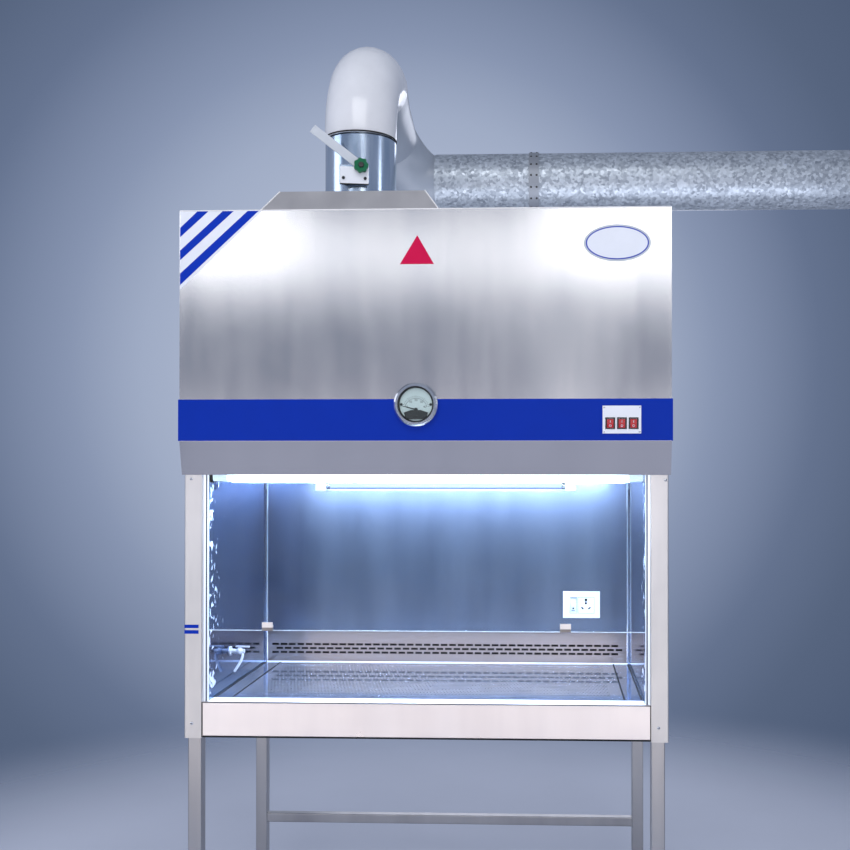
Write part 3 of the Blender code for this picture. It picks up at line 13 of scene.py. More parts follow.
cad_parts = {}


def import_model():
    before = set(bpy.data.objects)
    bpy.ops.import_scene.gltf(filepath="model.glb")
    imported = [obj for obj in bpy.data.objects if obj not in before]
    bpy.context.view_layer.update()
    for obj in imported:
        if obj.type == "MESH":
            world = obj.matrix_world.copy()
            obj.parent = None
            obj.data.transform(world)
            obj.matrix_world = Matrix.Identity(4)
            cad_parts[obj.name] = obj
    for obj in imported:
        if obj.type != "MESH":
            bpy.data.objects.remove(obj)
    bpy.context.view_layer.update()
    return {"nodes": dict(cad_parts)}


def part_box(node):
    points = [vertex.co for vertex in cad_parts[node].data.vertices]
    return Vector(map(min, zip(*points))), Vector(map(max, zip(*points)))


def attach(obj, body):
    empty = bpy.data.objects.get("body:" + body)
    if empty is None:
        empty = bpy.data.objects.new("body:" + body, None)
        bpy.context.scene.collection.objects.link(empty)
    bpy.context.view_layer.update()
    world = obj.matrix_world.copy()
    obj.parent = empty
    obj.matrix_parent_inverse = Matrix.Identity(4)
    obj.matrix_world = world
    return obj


LOG = logging.getLogger("cabinet")

# Middle of the front posts on the floor, in the part's frame.
MIDDLE = Vector((0.6446, -0.0208, 0.0))
MM = 0.001
PURE_WHITE = "ffffff"
LAMP_WHITE = "e6f0ff"
Point = tuple[float, float]
Spot = tuple[float, float, float]


def at(x: float, y: float, z: float) -> Vector:
    """A place given in millimetres from the middle of the post fronts, in the part's frame.

    Args:
        x: to the user's right.
        y: away from the user.
        z: above the floor.

    Returns:
        The place in metres.
    """
    return MIDDLE + Vector((x, y, z)) * MM


def linear(code: str) -> tuple[float, float, float, float]:
    """Turns an sRGB hex colour to linear.

    Args:
        code: six hex digits.

    Returns:
        Linear red, green, blue and alpha.
    """
    parts = [int(code[i:i + 2], 16) / 255 for i in (0, 2, 4)]
    made = [c / 12.92 if c <= 0.04045 else ((c + 0.055) / 1.055) ** 2.4 for c in parts]
    return made[0], made[1], made[2], 1.0


def feed(tree: bpy.types.NodeTree, socket: bpy.types.NodeSocket, value: Any) -> None:
    """Links an output to an input, or gives the input a value of its own.

    Args:
        tree: the tree that holds both.
        socket: the input.
        value: an output or a plain value.
    """
    if isinstance(value, bpy.types.NodeSocket):
        tree.links.new(value, socket)
    else:
        socket.default_value = value


def add_node(
    tree: bpy.types.NodeTree, kind: str, inputs: Optional[dict[Any, Any]] = None, **settings: Any
) -> bpy.types.Node:
    """Adds a node with its settings and inputs.

    Args:
        tree: the tree it goes in.
        kind: Blender's name for the node.
        inputs: outputs or plain values by the input's name or number.
        settings: attributes of the node.

    Returns:
        The new node.
    """
    node = tree.nodes.new(kind)
    for key, value in settings.items():
        setattr(node, key, value)
    for key, value in (inputs or {}).items():
        feed(tree, node.inputs[key], value)
    return node


@dataclass
class Graph:
    """A material under construction: its tree, its Principled shader and its coordinates."""

    name: str
    values: dict[str, Any]

    def __post_init__(self) -> None:
        """Makes the material with the shader on its surface."""
        self.material = bpy.data.materials.new(self.name)
        self.material.use_nodes = True
        self.tree = self.material.node_tree
        self.tree.nodes.clear()
        self.shader = self.add("ShaderNodeBsdfPrincipled", self.values)
        output = self.add("ShaderNodeOutputMaterial", {"Surface": self.shader.outputs["BSDF"]})
        self.surface = output.inputs["Surface"]
        self.place = self.add("ShaderNodeTexCoord").outputs["Object"]

    def add(self, kind: str, inputs: Optional[dict[Any, Any]] = None, **settings: Any) -> bpy.types.Node:
        """Adds a node to the material, as add_node does."""
        return add_node(self.tree, kind, inputs, **settings)

    def feed(self, name: str, value: Any) -> None:
        """Gives one input of the Principled shader an output or a value."""
        feed(self.tree, self.shader.inputs[name], value)

    def cover(self, share: Any, over: Any, under: Any = None) -> None:
        """Mixes a shader over another one on the surface.

        Args:
            share: output with the share of the upper shader, or a number.
            over: the upper shader's output.
            under: the lower shader's output, or None for what is on the surface now.
        """
        under = under or self.surface.links[0].from_socket
        mix = self.add("ShaderNodeMixShader", {0: share, 1: under, 2: over})
        feed(self.tree, self.surface, mix.outputs["Shader"])

    def axis(self, name: str) -> Any:
        """One of the coordinates."""
        return self.add("ShaderNodeSeparateXYZ", {"Vector": self.place}).outputs[name]

    def scaled(self, scale: Vector) -> Any:
        """The coordinates, scaled along each axis."""
        return self.add("ShaderNodeMapping", {"Vector": self.place, "Scale": scale}).outputs["Vector"]

    def sum(self, kind: str, *terms: Any) -> Any:
        """Result of one sum of outputs and numbers."""
        return self.add("ShaderNodeMath", dict(enumerate(terms)), operation=kind).outputs[0]

    def blend(self, share: Any, first: Any, second: Any) -> Any:
        """A colour between two linear colours or outputs."""
        return self.add("ShaderNodeMix", {0: share, 6: first, 7: second}, data_type="RGBA").outputs[2]

    def bump(self, height: Any, strength: float, distance: float) -> Any:
        """Normal of a surface with a relief."""
        node = self.add("ShaderNodeBump", {"Height": height, "Strength": strength, "Distance": distance})
        return node.outputs["Normal"]

    def ranged(self, value: Any, low: float, high: float, first: float = 0.0, last: float = 1.0) -> Any:
        """Maps an output from one range to another and holds it at both ends.

        Args:
            value: the output.
            low: its value that gives the first result.
            high: its value that gives the last result.
            first: the first result.
            last: the last result.

        Returns:
            The output with the result.
        """
        return self.add("ShaderNodeMapRange", {
            "Value": value, "From Min": low, "From Max": high, "To Min": first, "To Max": last,
        }).outputs["Result"]

    def noise(
        self, scale: float, detail: float, roughness: float = 0.5, twist: float = 0.0, place: Any = None
    ) -> Any:
        """Cloudy noise between 0 and 1.

        Args:
            scale: clouds per metre.
            detail: octaves.
            roughness: how strong the fine octaves are.
            twist: how far the clouds are pulled out of shape.
            place: the coordinates, or None for the material's own.

        Returns:
            The output with the noise.
        """
        return self.add("ShaderNodeTexNoise", {
            "Vector": place or self.place, "Scale": scale, "Detail": detail, "Roughness": roughness,
            "Distortion": twist,
        }).outputs["Fac"]


class Grain(Enum):
    """Which way the grinding lines of a steel sheet run, as noise scales along X, Y and Z."""

    ACROSS = (0.02, 1.0, 1.0)
    UPRIGHT = (1.0, 1.0, 0.02)


@dataclass(frozen=True)
class Finish:
    """Common part of every finish: a name, plain values and a faint cloudiness."""

    name: str
    colour: str
    roughness: float = 0.4
    metallic: float = 0.0
    specular: float = 0.5

    def build(self) -> bpy.types.Material:
        """Makes the material once and gives it again after that."""
        known = bpy.data.materials.get(self.name)
        if known:
            return known
        graph = Graph(self.name, {
            "Base Color": linear(self.colour), "Roughness": self.roughness, "Metallic": self.metallic,
            "Specular IOR Level": self.specular,
        })
        self.paint(graph)
        return graph.material

    def paint(self, graph: Graph) -> None:
        """Adds a faint cloudiness, so that no surface is one flat colour."""
        self.cloud(graph, 0.06)

    def cloud(self, graph: Graph, size: float, spread: float = 0.05, darkest: float = 0.88) -> None:
        """Varies colour and roughness a little over the surface.

        Args:
            graph: the material.
            size: width of one cloud in metres.
            spread: how far roughness moves either way.
            darkest: share of the colour that is left where it is darkest.
        """
        noise = graph.noise(1 / size, 4.0)
        base = linear(self.colour)
        darker = tuple(c * darkest for c in base[:3]) + (1.0,)
        graph.feed("Base Color", graph.blend(noise, darker, base))
        smooth = max(0.02, self.roughness - spread)
        rough = min(1.0, self.roughness + spread)
        graph.feed("Roughness", graph.ranged(noise, 0.0, 1.0, smooth, rough))


@dataclass(frozen=True)
class GroundSteel(Finish):
    """Stainless sheet ground with a belt: the lines blur what it mirrors into soft streaks.

    The real lines are about 0.2 mm apart. They are drawn several times wider, or they
    would not show at this distance.
    """

    metallic: float = 1.0
    shade: str = "8a8887"
    grain: Grain = Grain.ACROSS
    line_mm: float = 1.6
    depth: float = 0.05
    relief: float = 0.0006
    wipe_mm: float = 240.0
    wipe_share: float = 0.55
    streak_mm: float = 85.0
    streak_squash: float = 0.12
    spread: float = 0.04
    haze: float = 0.0
    # Below this height the colour carries a painted reflection in its own tone, faded in over a short height.
    haze_roughness: float = 0.42
    painted_reflection_height: float = 0.0
    painted_reflection_tone: str = "787d89"
    painted_reflection_fade: float = 0.0005

    def paint(self, graph: Graph) -> None:
        """Grinding lines as bump, wiping marks in roughness, soft upright streaks in tone and a painted
        reflection below a height.
        """
        across = graph.scaled(Vector(self.grain.value) / (self.line_mm * MM))
        normal = graph.bump(graph.noise(1.0, 3.0, place=across), self.depth, self.relief)
        if self.depth:
            graph.feed("Normal", normal)
        upright = graph.scaled(Vector((1.0, 1.0, self.streak_squash)) / (self.streak_mm * MM))
        streaks = graph.noise(1.0, 3.0, 0.45, place=upright)
        wiped = graph.noise(1000 / self.wipe_mm, 6.0, 0.62, 0.6)
        rest = graph.sum("MULTIPLY", streaks, 1 - self.wipe_share)
        both = graph.sum("MULTIPLY_ADD", wiped, self.wipe_share, rest)
        rough = graph.ranged(both, 0.3, 0.7, self.roughness - self.spread, self.roughness + self.spread)
        graph.feed("Roughness", rough)
        colour = graph.blend(graph.ranged(streaks, 0.32, 0.68), linear(self.shade), linear(self.colour))
        # Painted reflection below a height.
        if self.painted_reflection_height:
            colour = self.with_painted_reflection(graph, colour)
        graph.feed("Base Color", colour)
        if self.haze:
            self.blur(graph, colour, normal)

    def with_painted_reflection(self, graph: Graph, colour: Any) -> Any:
        """Paints a reflection into the colour below a height: a darker or paler tone for what the sheet
        mirrors there.

        Args:
            graph: the material.
            colour: output with the steel's colour.

        Returns:
            The output with the toned colour.
        """
        under = graph.ranged(graph.axis("Z"), self.painted_reflection_height, self.painted_reflection_height - self.painted_reflection_fade)
        return graph.blend(under, colour, linear(self.painted_reflection_tone))

    def blur(self, graph: Graph, colour: Any, normal: Any) -> None:
        """Adds the wide glow round a mirrored lamp that the grinding lines scatter.

        Args:
            graph: the material, whose Principled shader keeps the sharp mirror image.
            colour: output with the steel's colour.
            normal: output with the ground surface's normal.
        """
        wide = graph.add("ShaderNodeBsdfAnisotropic", {
            "Roughness": self.haze_roughness, "Color": colour, "Normal": normal})
        graph.cover(self.haze, wide.outputs["BSDF"])


@dataclass(frozen=True)
class SmudgedSteel(GroundSteel):
    """Polished liner with pale glue and wiping smudges left near its front edge."""

    front: float = 0.004
    reach: float = 0.20
    densest: float = 0.53
    sparsest: float = 0.80
    opacity: float = 0.55

    def paint(self, graph: Graph) -> None:
        """Pale matt flakes that thin out with the distance from the front edge."""
        super().paint(graph)
        need = graph.ranged(graph.axis("Y"), self.front, self.front + self.reach, self.densest, self.sparsest)
        flakes = graph.noise(26.0, 5.0, 0.55, 1.4)
        share = graph.ranged(graph.sum("SUBTRACT", flakes, need), 0.0, 0.05, 0.0, self.opacity)
        pale = graph.add("ShaderNodeBsdfDiffuse", {"Color": linear(LAMP_WHITE)})
        graph.cover(share, pale.outputs["BSDF"])


@dataclass(frozen=True)
class SpangledZinc(Finish):
    """Hot-dip zinc on duct sheet: flat crystals some 9 mm wide, each a slightly different grey."""

    metallic: float = 0.55
    shade: str = "5c626a"
    crystal_mm: float = 9.0

    def paint(self, graph: Graph) -> None:
        """Crystal cells in tone and roughness, with larger stains over them."""
        cells = graph.add("ShaderNodeTexVoronoi", {
            "Vector": graph.place, "Scale": 1000 / self.crystal_mm, "Randomness": 1.0})
        value = graph.add("ShaderNodeSeparateColor", {"Color": cells.outputs["Color"]})
        stain = graph.sum("MULTIPLY", graph.noise(14.0, 5.0, 0.65), 0.5)
        mixed = graph.sum("MULTIPLY_ADD", value.outputs["Red"], 0.55, stain)
        graph.feed("Base Color", graph.blend(mixed, linear(self.shade), linear(self.colour)))
        smooth, rough = self.roughness - 0.14, self.roughness + 0.16
        graph.feed("Roughness", graph.ranged(value.outputs["Green"], 0.0, 1.0, smooth, rough))
        graph.feed("Normal", graph.bump(mixed, 0.12, 0.0008))


@dataclass(frozen=True)
class PunchedSteel(GroundSteel):
    """Polished tray steel with fine round holes: it mirrors the wall behind through a screen of dark dots,
    painted shade for the holes.

    The real holes stand some 6 mm apart. They are drawn wider apart, or they would only
    grey the sheet. The holes of the first row are larger.
    """

    pitch_mm: float = 10.0
    row_mm: float = 20.0
    hole_share: float = 0.33
    first_row: float = 0.2
    low: Point = (0.0, 0.0)
    high: Point = (1.0, 1.0)

    def paint(self, graph: Graph) -> None:
        """Staggered holes between two corners, painted into the ground steel as dots of painted shade."""
        super().paint(graph)
        x, y = graph.axis("X"), graph.axis("Y")
        along = graph.sum("DIVIDE", y, self.row_mm * MM)
        odd = graph.sum("MULTIPLY", graph.sum("MODULO", graph.sum("FLOOR", along), 2.0), 0.5)
        across = graph.sum("ADD", graph.sum("DIVIDE", x, self.pitch_mm * MM), odd)
        dx, dy = (graph.sum("SUBTRACT", graph.sum("FRACT", value), 0.5) for value in (across, along))
        away = graph.sum("ADD", graph.sum("MULTIPLY", dx, dx), graph.sum("MULTIPLY", dy, dy))
        area = self.hole_share ** 2
        first = graph.sum("LESS_THAN", y, self.low[1] + self.row_mm * MM)
        reach = graph.sum("ADD", graph.sum("MULTIPLY", first, self.first_row - area), area)
        hole = graph.sum("LESS_THAN", away, reach)
        for value, low, high in zip((x, y), self.low, self.high):
            hole = graph.sum("MULTIPLY", hole, graph.sum("GREATER_THAN", value, low))
            hole = graph.sum("MULTIPLY", hole, graph.sum("LESS_THAN", value, high))
        tone = graph.shader.inputs["Base Color"].links[0].from_socket
        # Holes as dark dots: painted shade.
        graph.feed("Base Color", graph.blend(hole, tone, linear("0b0d12")))


@dataclass(frozen=True)
class SteppedPlastic(Finish):
    """Moulded plastic in two colours that meet at a depth along Y, as a bezel clipped into a plate."""

    second: str = "0a0a0b"
    depth: float = 0.0

    def paint(self, graph: Graph) -> None:
        """The second colour where the surface stands further out than the depth."""
        front = graph.sum("LESS_THAN", graph.axis("Y"), self.depth)
        graph.feed("Base Color", graph.blend(front, linear(self.colour), linear(self.second)))


@dataclass(frozen=True)
class Glass(Finish):
    """Clear toughened soda-lime glass: nearly colourless, with a faint mirror of the room."""

    mirror: float = 0.4

    def paint(self, graph: Graph) -> None:
        """A clear pane whose faint mirror image is broken up by smears."""
        rough = graph.ranged(graph.noise(7.0, 6.0, twist=1.2), 0.35, 0.8, 0.18, 0.42)
        shine = graph.add("ShaderNodeBsdfAnisotropic", {"Color": linear(PURE_WHITE), "Roughness": rough})
        clear = graph.add("ShaderNodeBsdfTransparent", {"Color": linear(self.colour)})
        edge = graph.add("ShaderNodeFresnel", {"IOR": 1.46})
        share = graph.sum("MULTIPLY", edge.outputs["Fac"], self.mirror)
        graph.cover(share, shine.outputs["BSDF"], clear.outputs["BSDF"])


@dataclass(frozen=True)
class Glow(Finish):
    """Phosphor coat of a lit lamp tube: cold white light, a little weaker at the ends."""

    strength: float = 5.0
    centre: float = 0.0
    half: float = 0.5
    dim_end: float = 0.06

    def paint(self, graph: Graph) -> None:
        """Emission that falls off towards the caps."""
        away = graph.sum("ABSOLUTE", graph.sum("SUBTRACT", graph.axis("X"), self.centre))
        weakest = self.strength * 0.25
        power = graph.ranged(away, self.half - self.dim_end, self.half, self.strength, weakest)
        graph.feed("Emission Color", linear(LAMP_WHITE))
        graph.feed("Emission Strength", power)


@dataclass(frozen=True)
class FadingFloor(Finish):
    """Painted studio floor: matt, a little cloudy, and lost in the backdrop further out."""

    near: float = 1.5
    far: float = 3.2

    def paint(self, graph: Graph) -> None:
        """The paint, let through to the backdrop with distance from the middle."""
        self.cloud(graph, 0.5)
        away = graph.add("ShaderNodeVectorMath", {0: graph.place}, operation="LENGTH")
        fade = graph.add("ShaderNodeMapRange", {
            "Value": away.outputs["Value"], "From Min": self.near, "From Max": self.far,
        }, interpolation_type="SMOOTHSTEP")
        clear = graph.add("ShaderNodeBsdfTransparent")
        graph.cover(fade.outputs["Result"], clear.outputs["BSDF"])


@dataclass(frozen=True)
class LitEdge(Finish):
    """Polished edge close under the lamp, with its glare painted in as emission: white at the top, paler
    downwards.
    """

    strength: float = 0.9
    low: float = 0.76
    high: float = 1.39
    line: Point = (0.0, 0.0)
    foot: float = 0.45

    def paint(self, graph: Graph) -> None:
        """Painted light as emission that grows with height, with a dull line at a distance from the middle.
        """
        power = graph.ranged(graph.axis("Z"), self.low, self.high, self.strength * self.foot, self.strength)
        away = graph.sum("ABSOLUTE", graph.sum("SUBTRACT", graph.axis("X"), MIDDLE.x))
        half = (self.line[1] - self.line[0]) / 2
        dull = graph.sum("COMPARE", away, self.line[0] + half, half)
        share = graph.ranged(dull, 0.0, 1.0, 1.0, 0.12)
        graph.feed("Emission Color", linear("e8f1ff"))
        graph.feed("Emission Strength", graph.sum("MULTIPLY", power, share))
        graph.feed("Base Color", graph.blend(dull, linear(self.colour), linear("2e3b52")))


# Grade 304 stainless with a No. 4 ground face: bright but blurred.
# The canopy's lip, below the given height, carries a darker painted reflection of the floor.
CANOPY_STEEL = GroundSteel("canopy_stainless", "c8c7c8", 0.19, shade="bcbcbf", depth=0.02, spread=0.03,
                           painted_reflection_height=1.4887, painted_reflection_tone="747986")
FRAME_STEEL = GroundSteel("frame_stainless", "d2cfcd", 0.34, shade="bdbbba", grain=Grain.UPRIGHT,
                          wipe_mm=60.0)
PANEL_STEEL = GroundSteel("panel_stainless", "c8c7c8", 0.26, shade="b9b9bc", depth=0.02, spread=0.03)
# Darker copy of the frame steel: painted shade for the legs and crossbar.
SHADED_LEG_STEEL = GroundSteel("leg_stainless_painted_shade", "b5b3b3", 0.34, shade="a4a2a3", grain=Grain.UPRIGHT, wipe_mm=60.0)
# The clips carry a darker painted reflection below the given height.
CLIP_STEEL = GroundSteel("clip_stainless", "efebe8", 0.30, shade="e2dedb", painted_reflection_height=0.9675, painted_reflection_tone="85807d")
BASE_STEEL = GroundSteel("base_stainless", "e6dfdc", 0.30, shade="ddd6d4", wipe_mm=90.0)
HOOD_STEEL = GroundSteel("hood_stainless", "d6d1cc", 0.34, shade="c6c1bd")
DULL_STEEL = GroundSteel("inner_stainless", "a0a1a3", 0.40, shade="86878a")
# Pale finish for painted highlights on folded corners.
FOLD_HIGHLIGHT = Finish("fold_painted_highlight", "f1f0ee", 0.35)
CHROME = Finish("bright_chrome", "d9dce0", 0.10, 1.0)
# Dark steel for cables and bolts, also the painted shade in screw recesses.
DARK_STEEL_AND_SHADE = Finish("dark_steel_and_recess_shade", "2b2d31", 0.45, 0.8)
CAST = Finish("painted_iron", "4a4d52", 0.6)
# The liner is polished: a nearly sharp mirror image inside a wide glow. Its foot carries a painted reflection
# of the tray.
LINER_STEEL = GroundSteel("liner_stainless", "7986a2", 0.15, shade="6b7894", depth=0.006, line_mm=2.2,
                          spread=0.02, haze=0.42, haze_roughness=0.30, painted_reflection_height=0.868, painted_reflection_tone="9b9594",
                          painted_reflection_fade=0.008)
# The side liners carry a paler painted reflection towards their feet.
SIDE_STEEL = SmudgedSteel("side_liner_stainless", "536b92", 0.07, shade="485f85", depth=0.006, line_mm=2.2,
                          spread=0.02, haze=0.20, haze_roughness=0.36, painted_reflection_height=0.86, painted_reflection_tone="9fb8d6",
                          painted_reflection_fade=0.09)
DECK_STEEL = GroundSteel("deck_stainless", "c9d2e0", 0.05, shade="bac3d2", depth=0.0, spread=0.01,
                         haze=0.13, haze_roughness=0.8)
# Galvanised sheet.
ZINC = SpangledZinc("duct_zinc", "c6ced6", 0.42, crystal_mm=10.0, shade="636b75")
BAND_ZINC = Finish("band_zinc", "8b9097", 0.45, 0.4)
COLLAR_ZINC = GroundSteel("collar_zinc", "c5d1de", 0.20, shade="a3b6cb", grain=Grain.UPRIGHT, depth=0.02,
                          streak_mm=30.0)
# Edges that glare under the work lamp; the glare is painted in as emission.
GUIDE_EDGE = LitEdge("guide_edge", "d4dce6", 0.25, line=(0.6135, 0.6180))
LAMP_HOLDER = LitEdge("lamp_holder_glare", "e2ebf9", 0.35, strength=0.62)
# Painted highlight along the top of the UV tube.
UV_TUBE_GLARE = LitEdge("lamp_glass_glare", "5c7cc6", 0.15, strength=0.95, low=1.343, high=1.350, foot=0.0)
TRAY_EDGE = LitEdge("tray_edge_glare", "dbe4f0", 0.25, strength=0.70)
# Moulded plastics.
SOCKET_ABS = Finish("socket_abs", "dfe1e4", 0.35, specular=0.2)
BLACK_ABS = Finish("black_abs", "0c0c0e", 0.35)
RED_PC = Finish("red_polycarbonate", "c01220", 0.16)
GREEN_KNOB = Finish("green_phenolic", "046540", 0.45, specular=0.2)
NYLON = Finish("nylon", "e8e8e4", 0.45)
WHITE_DUCT = Finish("white_upvc", "dedfe2", 0.14)
GREY_DUCT = Finish("grey_upvc", "8f97a2", 0.34)
# Paints and films.
TAP_PAINT = Finish("tap_enamel", "a3a9b3", 0.35, specular=0.3)
LEVER_PAINT = Finish("lever_enamel", "c3c9d0", 0.40)
# Black for painted shade in gaps, behind slots, under the bracket plate and at the collar rim.
SHADE_BLACK = Finish("painted_shade_black", "08090b", 0.8)
BLUE_ENAMEL = Finish("blue_enamel", "002fa4", 0.36, specular=0.10)
BADGE_ENAMEL = Finish("badge_enamel", "e4e8f0", 0.25)
BLUE_VINYL = Finish("blue_vinyl", "0032b0", 0.45, specular=0.12)
WHITE_VINYL = Finish("white_vinyl", "e9ecf2", 0.40)
RED_VINYL = Finish("red_vinyl", "d0104a", 0.50, specular=0.10)
# Painted shade for mouths, moulded lines, card, paper and glass.
MOUTH_SHADE = Finish("mouth_painted_shade", "020203", 0.9, specular=0.0)
SEAM_GREY = Finish("moulded_seam", "6d7788", 0.6)
DIAL_WHITE = Finish("dial_card", "f4f4f1", 0.6)
PAPER = Finish("filter_paper", "e6e5dc", 0.9)
GLASS = Glass("clear_glass", "f4fafa", 0.0)
MILK_EDGE = Finish("ground_glass_edge", "dfeaf0", 0.25)


def shade_soft(piece: bpy.types.Object) -> None:
    """Shades a CAD node smooth over edges under 30 degrees, without touching its mesh.

    Args:
        piece: the node's object.
    """
    weld = piece.modifiers.new("weld", "WELD")
    weld.merge_threshold = 0.00001
    group = bpy.data.node_groups.get("soft_shading")
    if not group:
        group = bpy.data.node_groups.new("soft_shading", "GeometryNodeTree")
        for way in ("INPUT", "OUTPUT"):
            group.interface.new_socket("Geometry", in_out=way, socket_type="NodeSocketGeometry")
        given = add_node(group, "NodeGroupInput")
        faces = add_node(group, "GeometryNodeSetShadeSmooth", {
            "Geometry": given.outputs[0], "Shade Smooth": True}, domain="FACE")
        angle = add_node(group, "GeometryNodeInputMeshEdgeAngle").outputs["Unsigned Angle"]
        sharp = add_node(group, "FunctionNodeCompare", {0: angle, 1: math.radians(30.0)},
                         data_type="FLOAT", operation="GREATER_THAN")
        edges = add_node(group, "GeometryNodeSetShadeSmooth", {
            "Geometry": faces.outputs[0], "Selection": sharp.outputs[0], "Shade Smooth": False,
        }, domain="EDGE")
        add_node(group, "NodeGroupOutput", {0: edges.outputs[0]})
    piece.modifiers.new("soft_shading", "NODES").node_group = group


def dress(frame: dict[str, Any], finish: Finish, names: Sequence[str], soft: bool) -> None:
    """Gives CAD nodes their finish.

    Args:
        finish: the finish.
        names: the nodes.
        soft: shade round faces smooth.
    """
    material = finish.build()
    for name in names:
        piece = frame["nodes"][name]
        piece.data.materials.clear()
        piece.data.materials.append(material)
        if soft:
            shade_soft(piece)
        LOG.info("dressed %s in %s", name, finish.name)


@dataclass
class Shape:
    """A mesh under construction, from outlines drawn out, turned profiles and boxes."""

    name: str
    slot: str
    finishes: Sequence[Finish]
    body: str = "cabinet"

    def __post_init__(self) -> None:
        """Opens the mesh."""
        self.work = bmesh.new()

    def slab(self, outline: Sequence[Point], depth: float, place: Matrix, finish: int = 0) -> None:
        """Draws a flat outline out along its own Z.

        Args:
            outline: corners, anticlockwise, in metres.
            depth: thickness.
            place: matrix of the outline's plane.
            finish: which of the shape's finishes it takes.
        """
        low = [self.work.verts.new(place @ Vector((x, y, 0.0))) for x, y in outline]
        high = [self.work.verts.new(place @ Vector((x, y, depth))) for x, y in outline]
        faces = [self.work.faces.new(low[::-1]), self.work.faces.new(high)]
        count = len(outline)
        for i in range(count):
            j = (i + 1) % count
            faces.append(self.work.faces.new((low[i], low[j], high[j], high[i])))
        for face in faces:
            face.material_index = finish

    def lathe(self, profile: Sequence[Point], place: Matrix, steps: int = 24, finish: int = 0) -> None:
        """Turns a profile of (radius, height) round its own Z.

        Args:
            profile: points from the top axis down the outer side.
            place: matrix of the axis.
            steps: sides round the axis.
            finish: which of the shape's finishes it takes.
        """
        rings = []
        for radius, height in profile:
            if radius < 1e-7:
                rings.append([self.work.verts.new(place @ Vector((0.0, 0.0, height)))])
                continue
            rings.append([self.work.verts.new(place @ Vector((
                radius * math.cos(2 * math.pi * i / steps),
                radius * math.sin(2 * math.pi * i / steps), height))) for i in range(steps)])
        for upper, lower in zip(rings, rings[1:]):
            for i in range(steps):
                j = (i + 1) % steps
                corners = [upper[i % len(upper)], lower[i % len(lower)], lower[j % len(lower)],
                           upper[j % len(upper)]]
                unique = list(dict.fromkeys(corners))
                if len(unique) > 2:
                    self.work.faces.new(unique).material_index = finish

    def bar(self, start: Vector, end: Vector, radius: float, finish: int = 0) -> None:
        """A round bar between two places.

        Args:
            start: one end.
            end: the other end.
            radius: its radius.
            finish: which of the shape's finishes it takes.
        """
        way = end - start
        self.lathe([(0.0, way.length), (radius, way.length), (radius, 0.0), (0.0, 0.0)],
                   facing(start, way), 8, finish)

    def frame(
        self, width: float, height: float, line: float, depth: float, place: Matrix, finish: int
    ) -> None:
        """A thin rectangular line, as the seam round a moulded module.

        Args:
            width: outer width.
            height: outer height.
            line: width of the line.
            depth: how far it stands out.
            place: matrix of its plane.
            finish: which of the shape's finishes it takes.
        """
        for sign in (-1, 1):
            side = shift(sign * (width - line) / 2, 0.0, 0.0)
            self.slab(rectangle(line, height), depth, place @ side, finish)
            side = shift(0.0, sign * (height - line) / 2, 0.0)
            self.slab(rectangle(width - 2 * line, line), depth, place @ side, finish)

    def done(self, edge: float = 0.0) -> None:
        """Closes the mesh and puts the piece on its body.

        Args:
            edge: radius of a small bevel, or 0 for none.
        """
        mesh = bpy.data.meshes.new(self.name)
        bmesh.ops.recalc_face_normals(self.work, faces=self.work.faces)
        self.work.to_mesh(mesh)
        self.work.free()
        for finish in self.finishes:
            mesh.materials.append(finish.build())
        mesh.shade_smooth()
        mesh.set_sharp_from_angle(angle=math.radians(35.0))
        piece = bpy.data.objects.new(self.name, mesh)
        bpy.context.scene.collection.objects.link(piece)
        if edge:
            bevel = piece.modifiers.new("edges", "BEVEL")
            bevel.width = edge
            bevel.segments = 2
            bevel.limit_method = "ANGLE"
        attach(piece, self.body)
        LOG.info("built %s on %s", self.name, self.body)


# Turns a level plane up to face the user.
TO_USER = Matrix.Rotation(math.pi / 2, 4, "X")


def shift(x: float, y: float, z: float) -> Matrix:
    """A move in metres."""
    return Matrix.Translation((x, y, z))


def level(x: float, y: float, z: float) -> Matrix:
    """Plane at a place in millimetres whose Z points up."""
    return Matrix.Translation(at(x, y, z))


def front(x: float, y: float, z: float) -> Matrix:
    """Plane at a place in millimetres whose X runs to the right, Y up and Z towards the user."""
    return level(x, y, z) @ TO_USER


def facing(place: Vector, direction: Vector) -> Matrix:
    """Plane at a place whose Z points along a direction."""
    return Matrix.Translation(place) @ direction.to_track_quat("Z", "Y").to_matrix().to_4x4()


def rectangle(width: float, height: float) -> list[Point]:
    """Corners of a rectangle round the origin, anticlockwise."""
    x, y = width / 2, height / 2
    return [(-x, -y), (x, -y), (x, y), (-x, y)]


def ellipse(width: float, height: float, count: int = 64) -> list[Point]:
    """Points of an ellipse round the origin, anticlockwise."""
    return [(width / 2 * math.cos(2 * math.pi * i / count), height / 2 * math.sin(2 * math.pi * i / count))
            for i in range(count)]


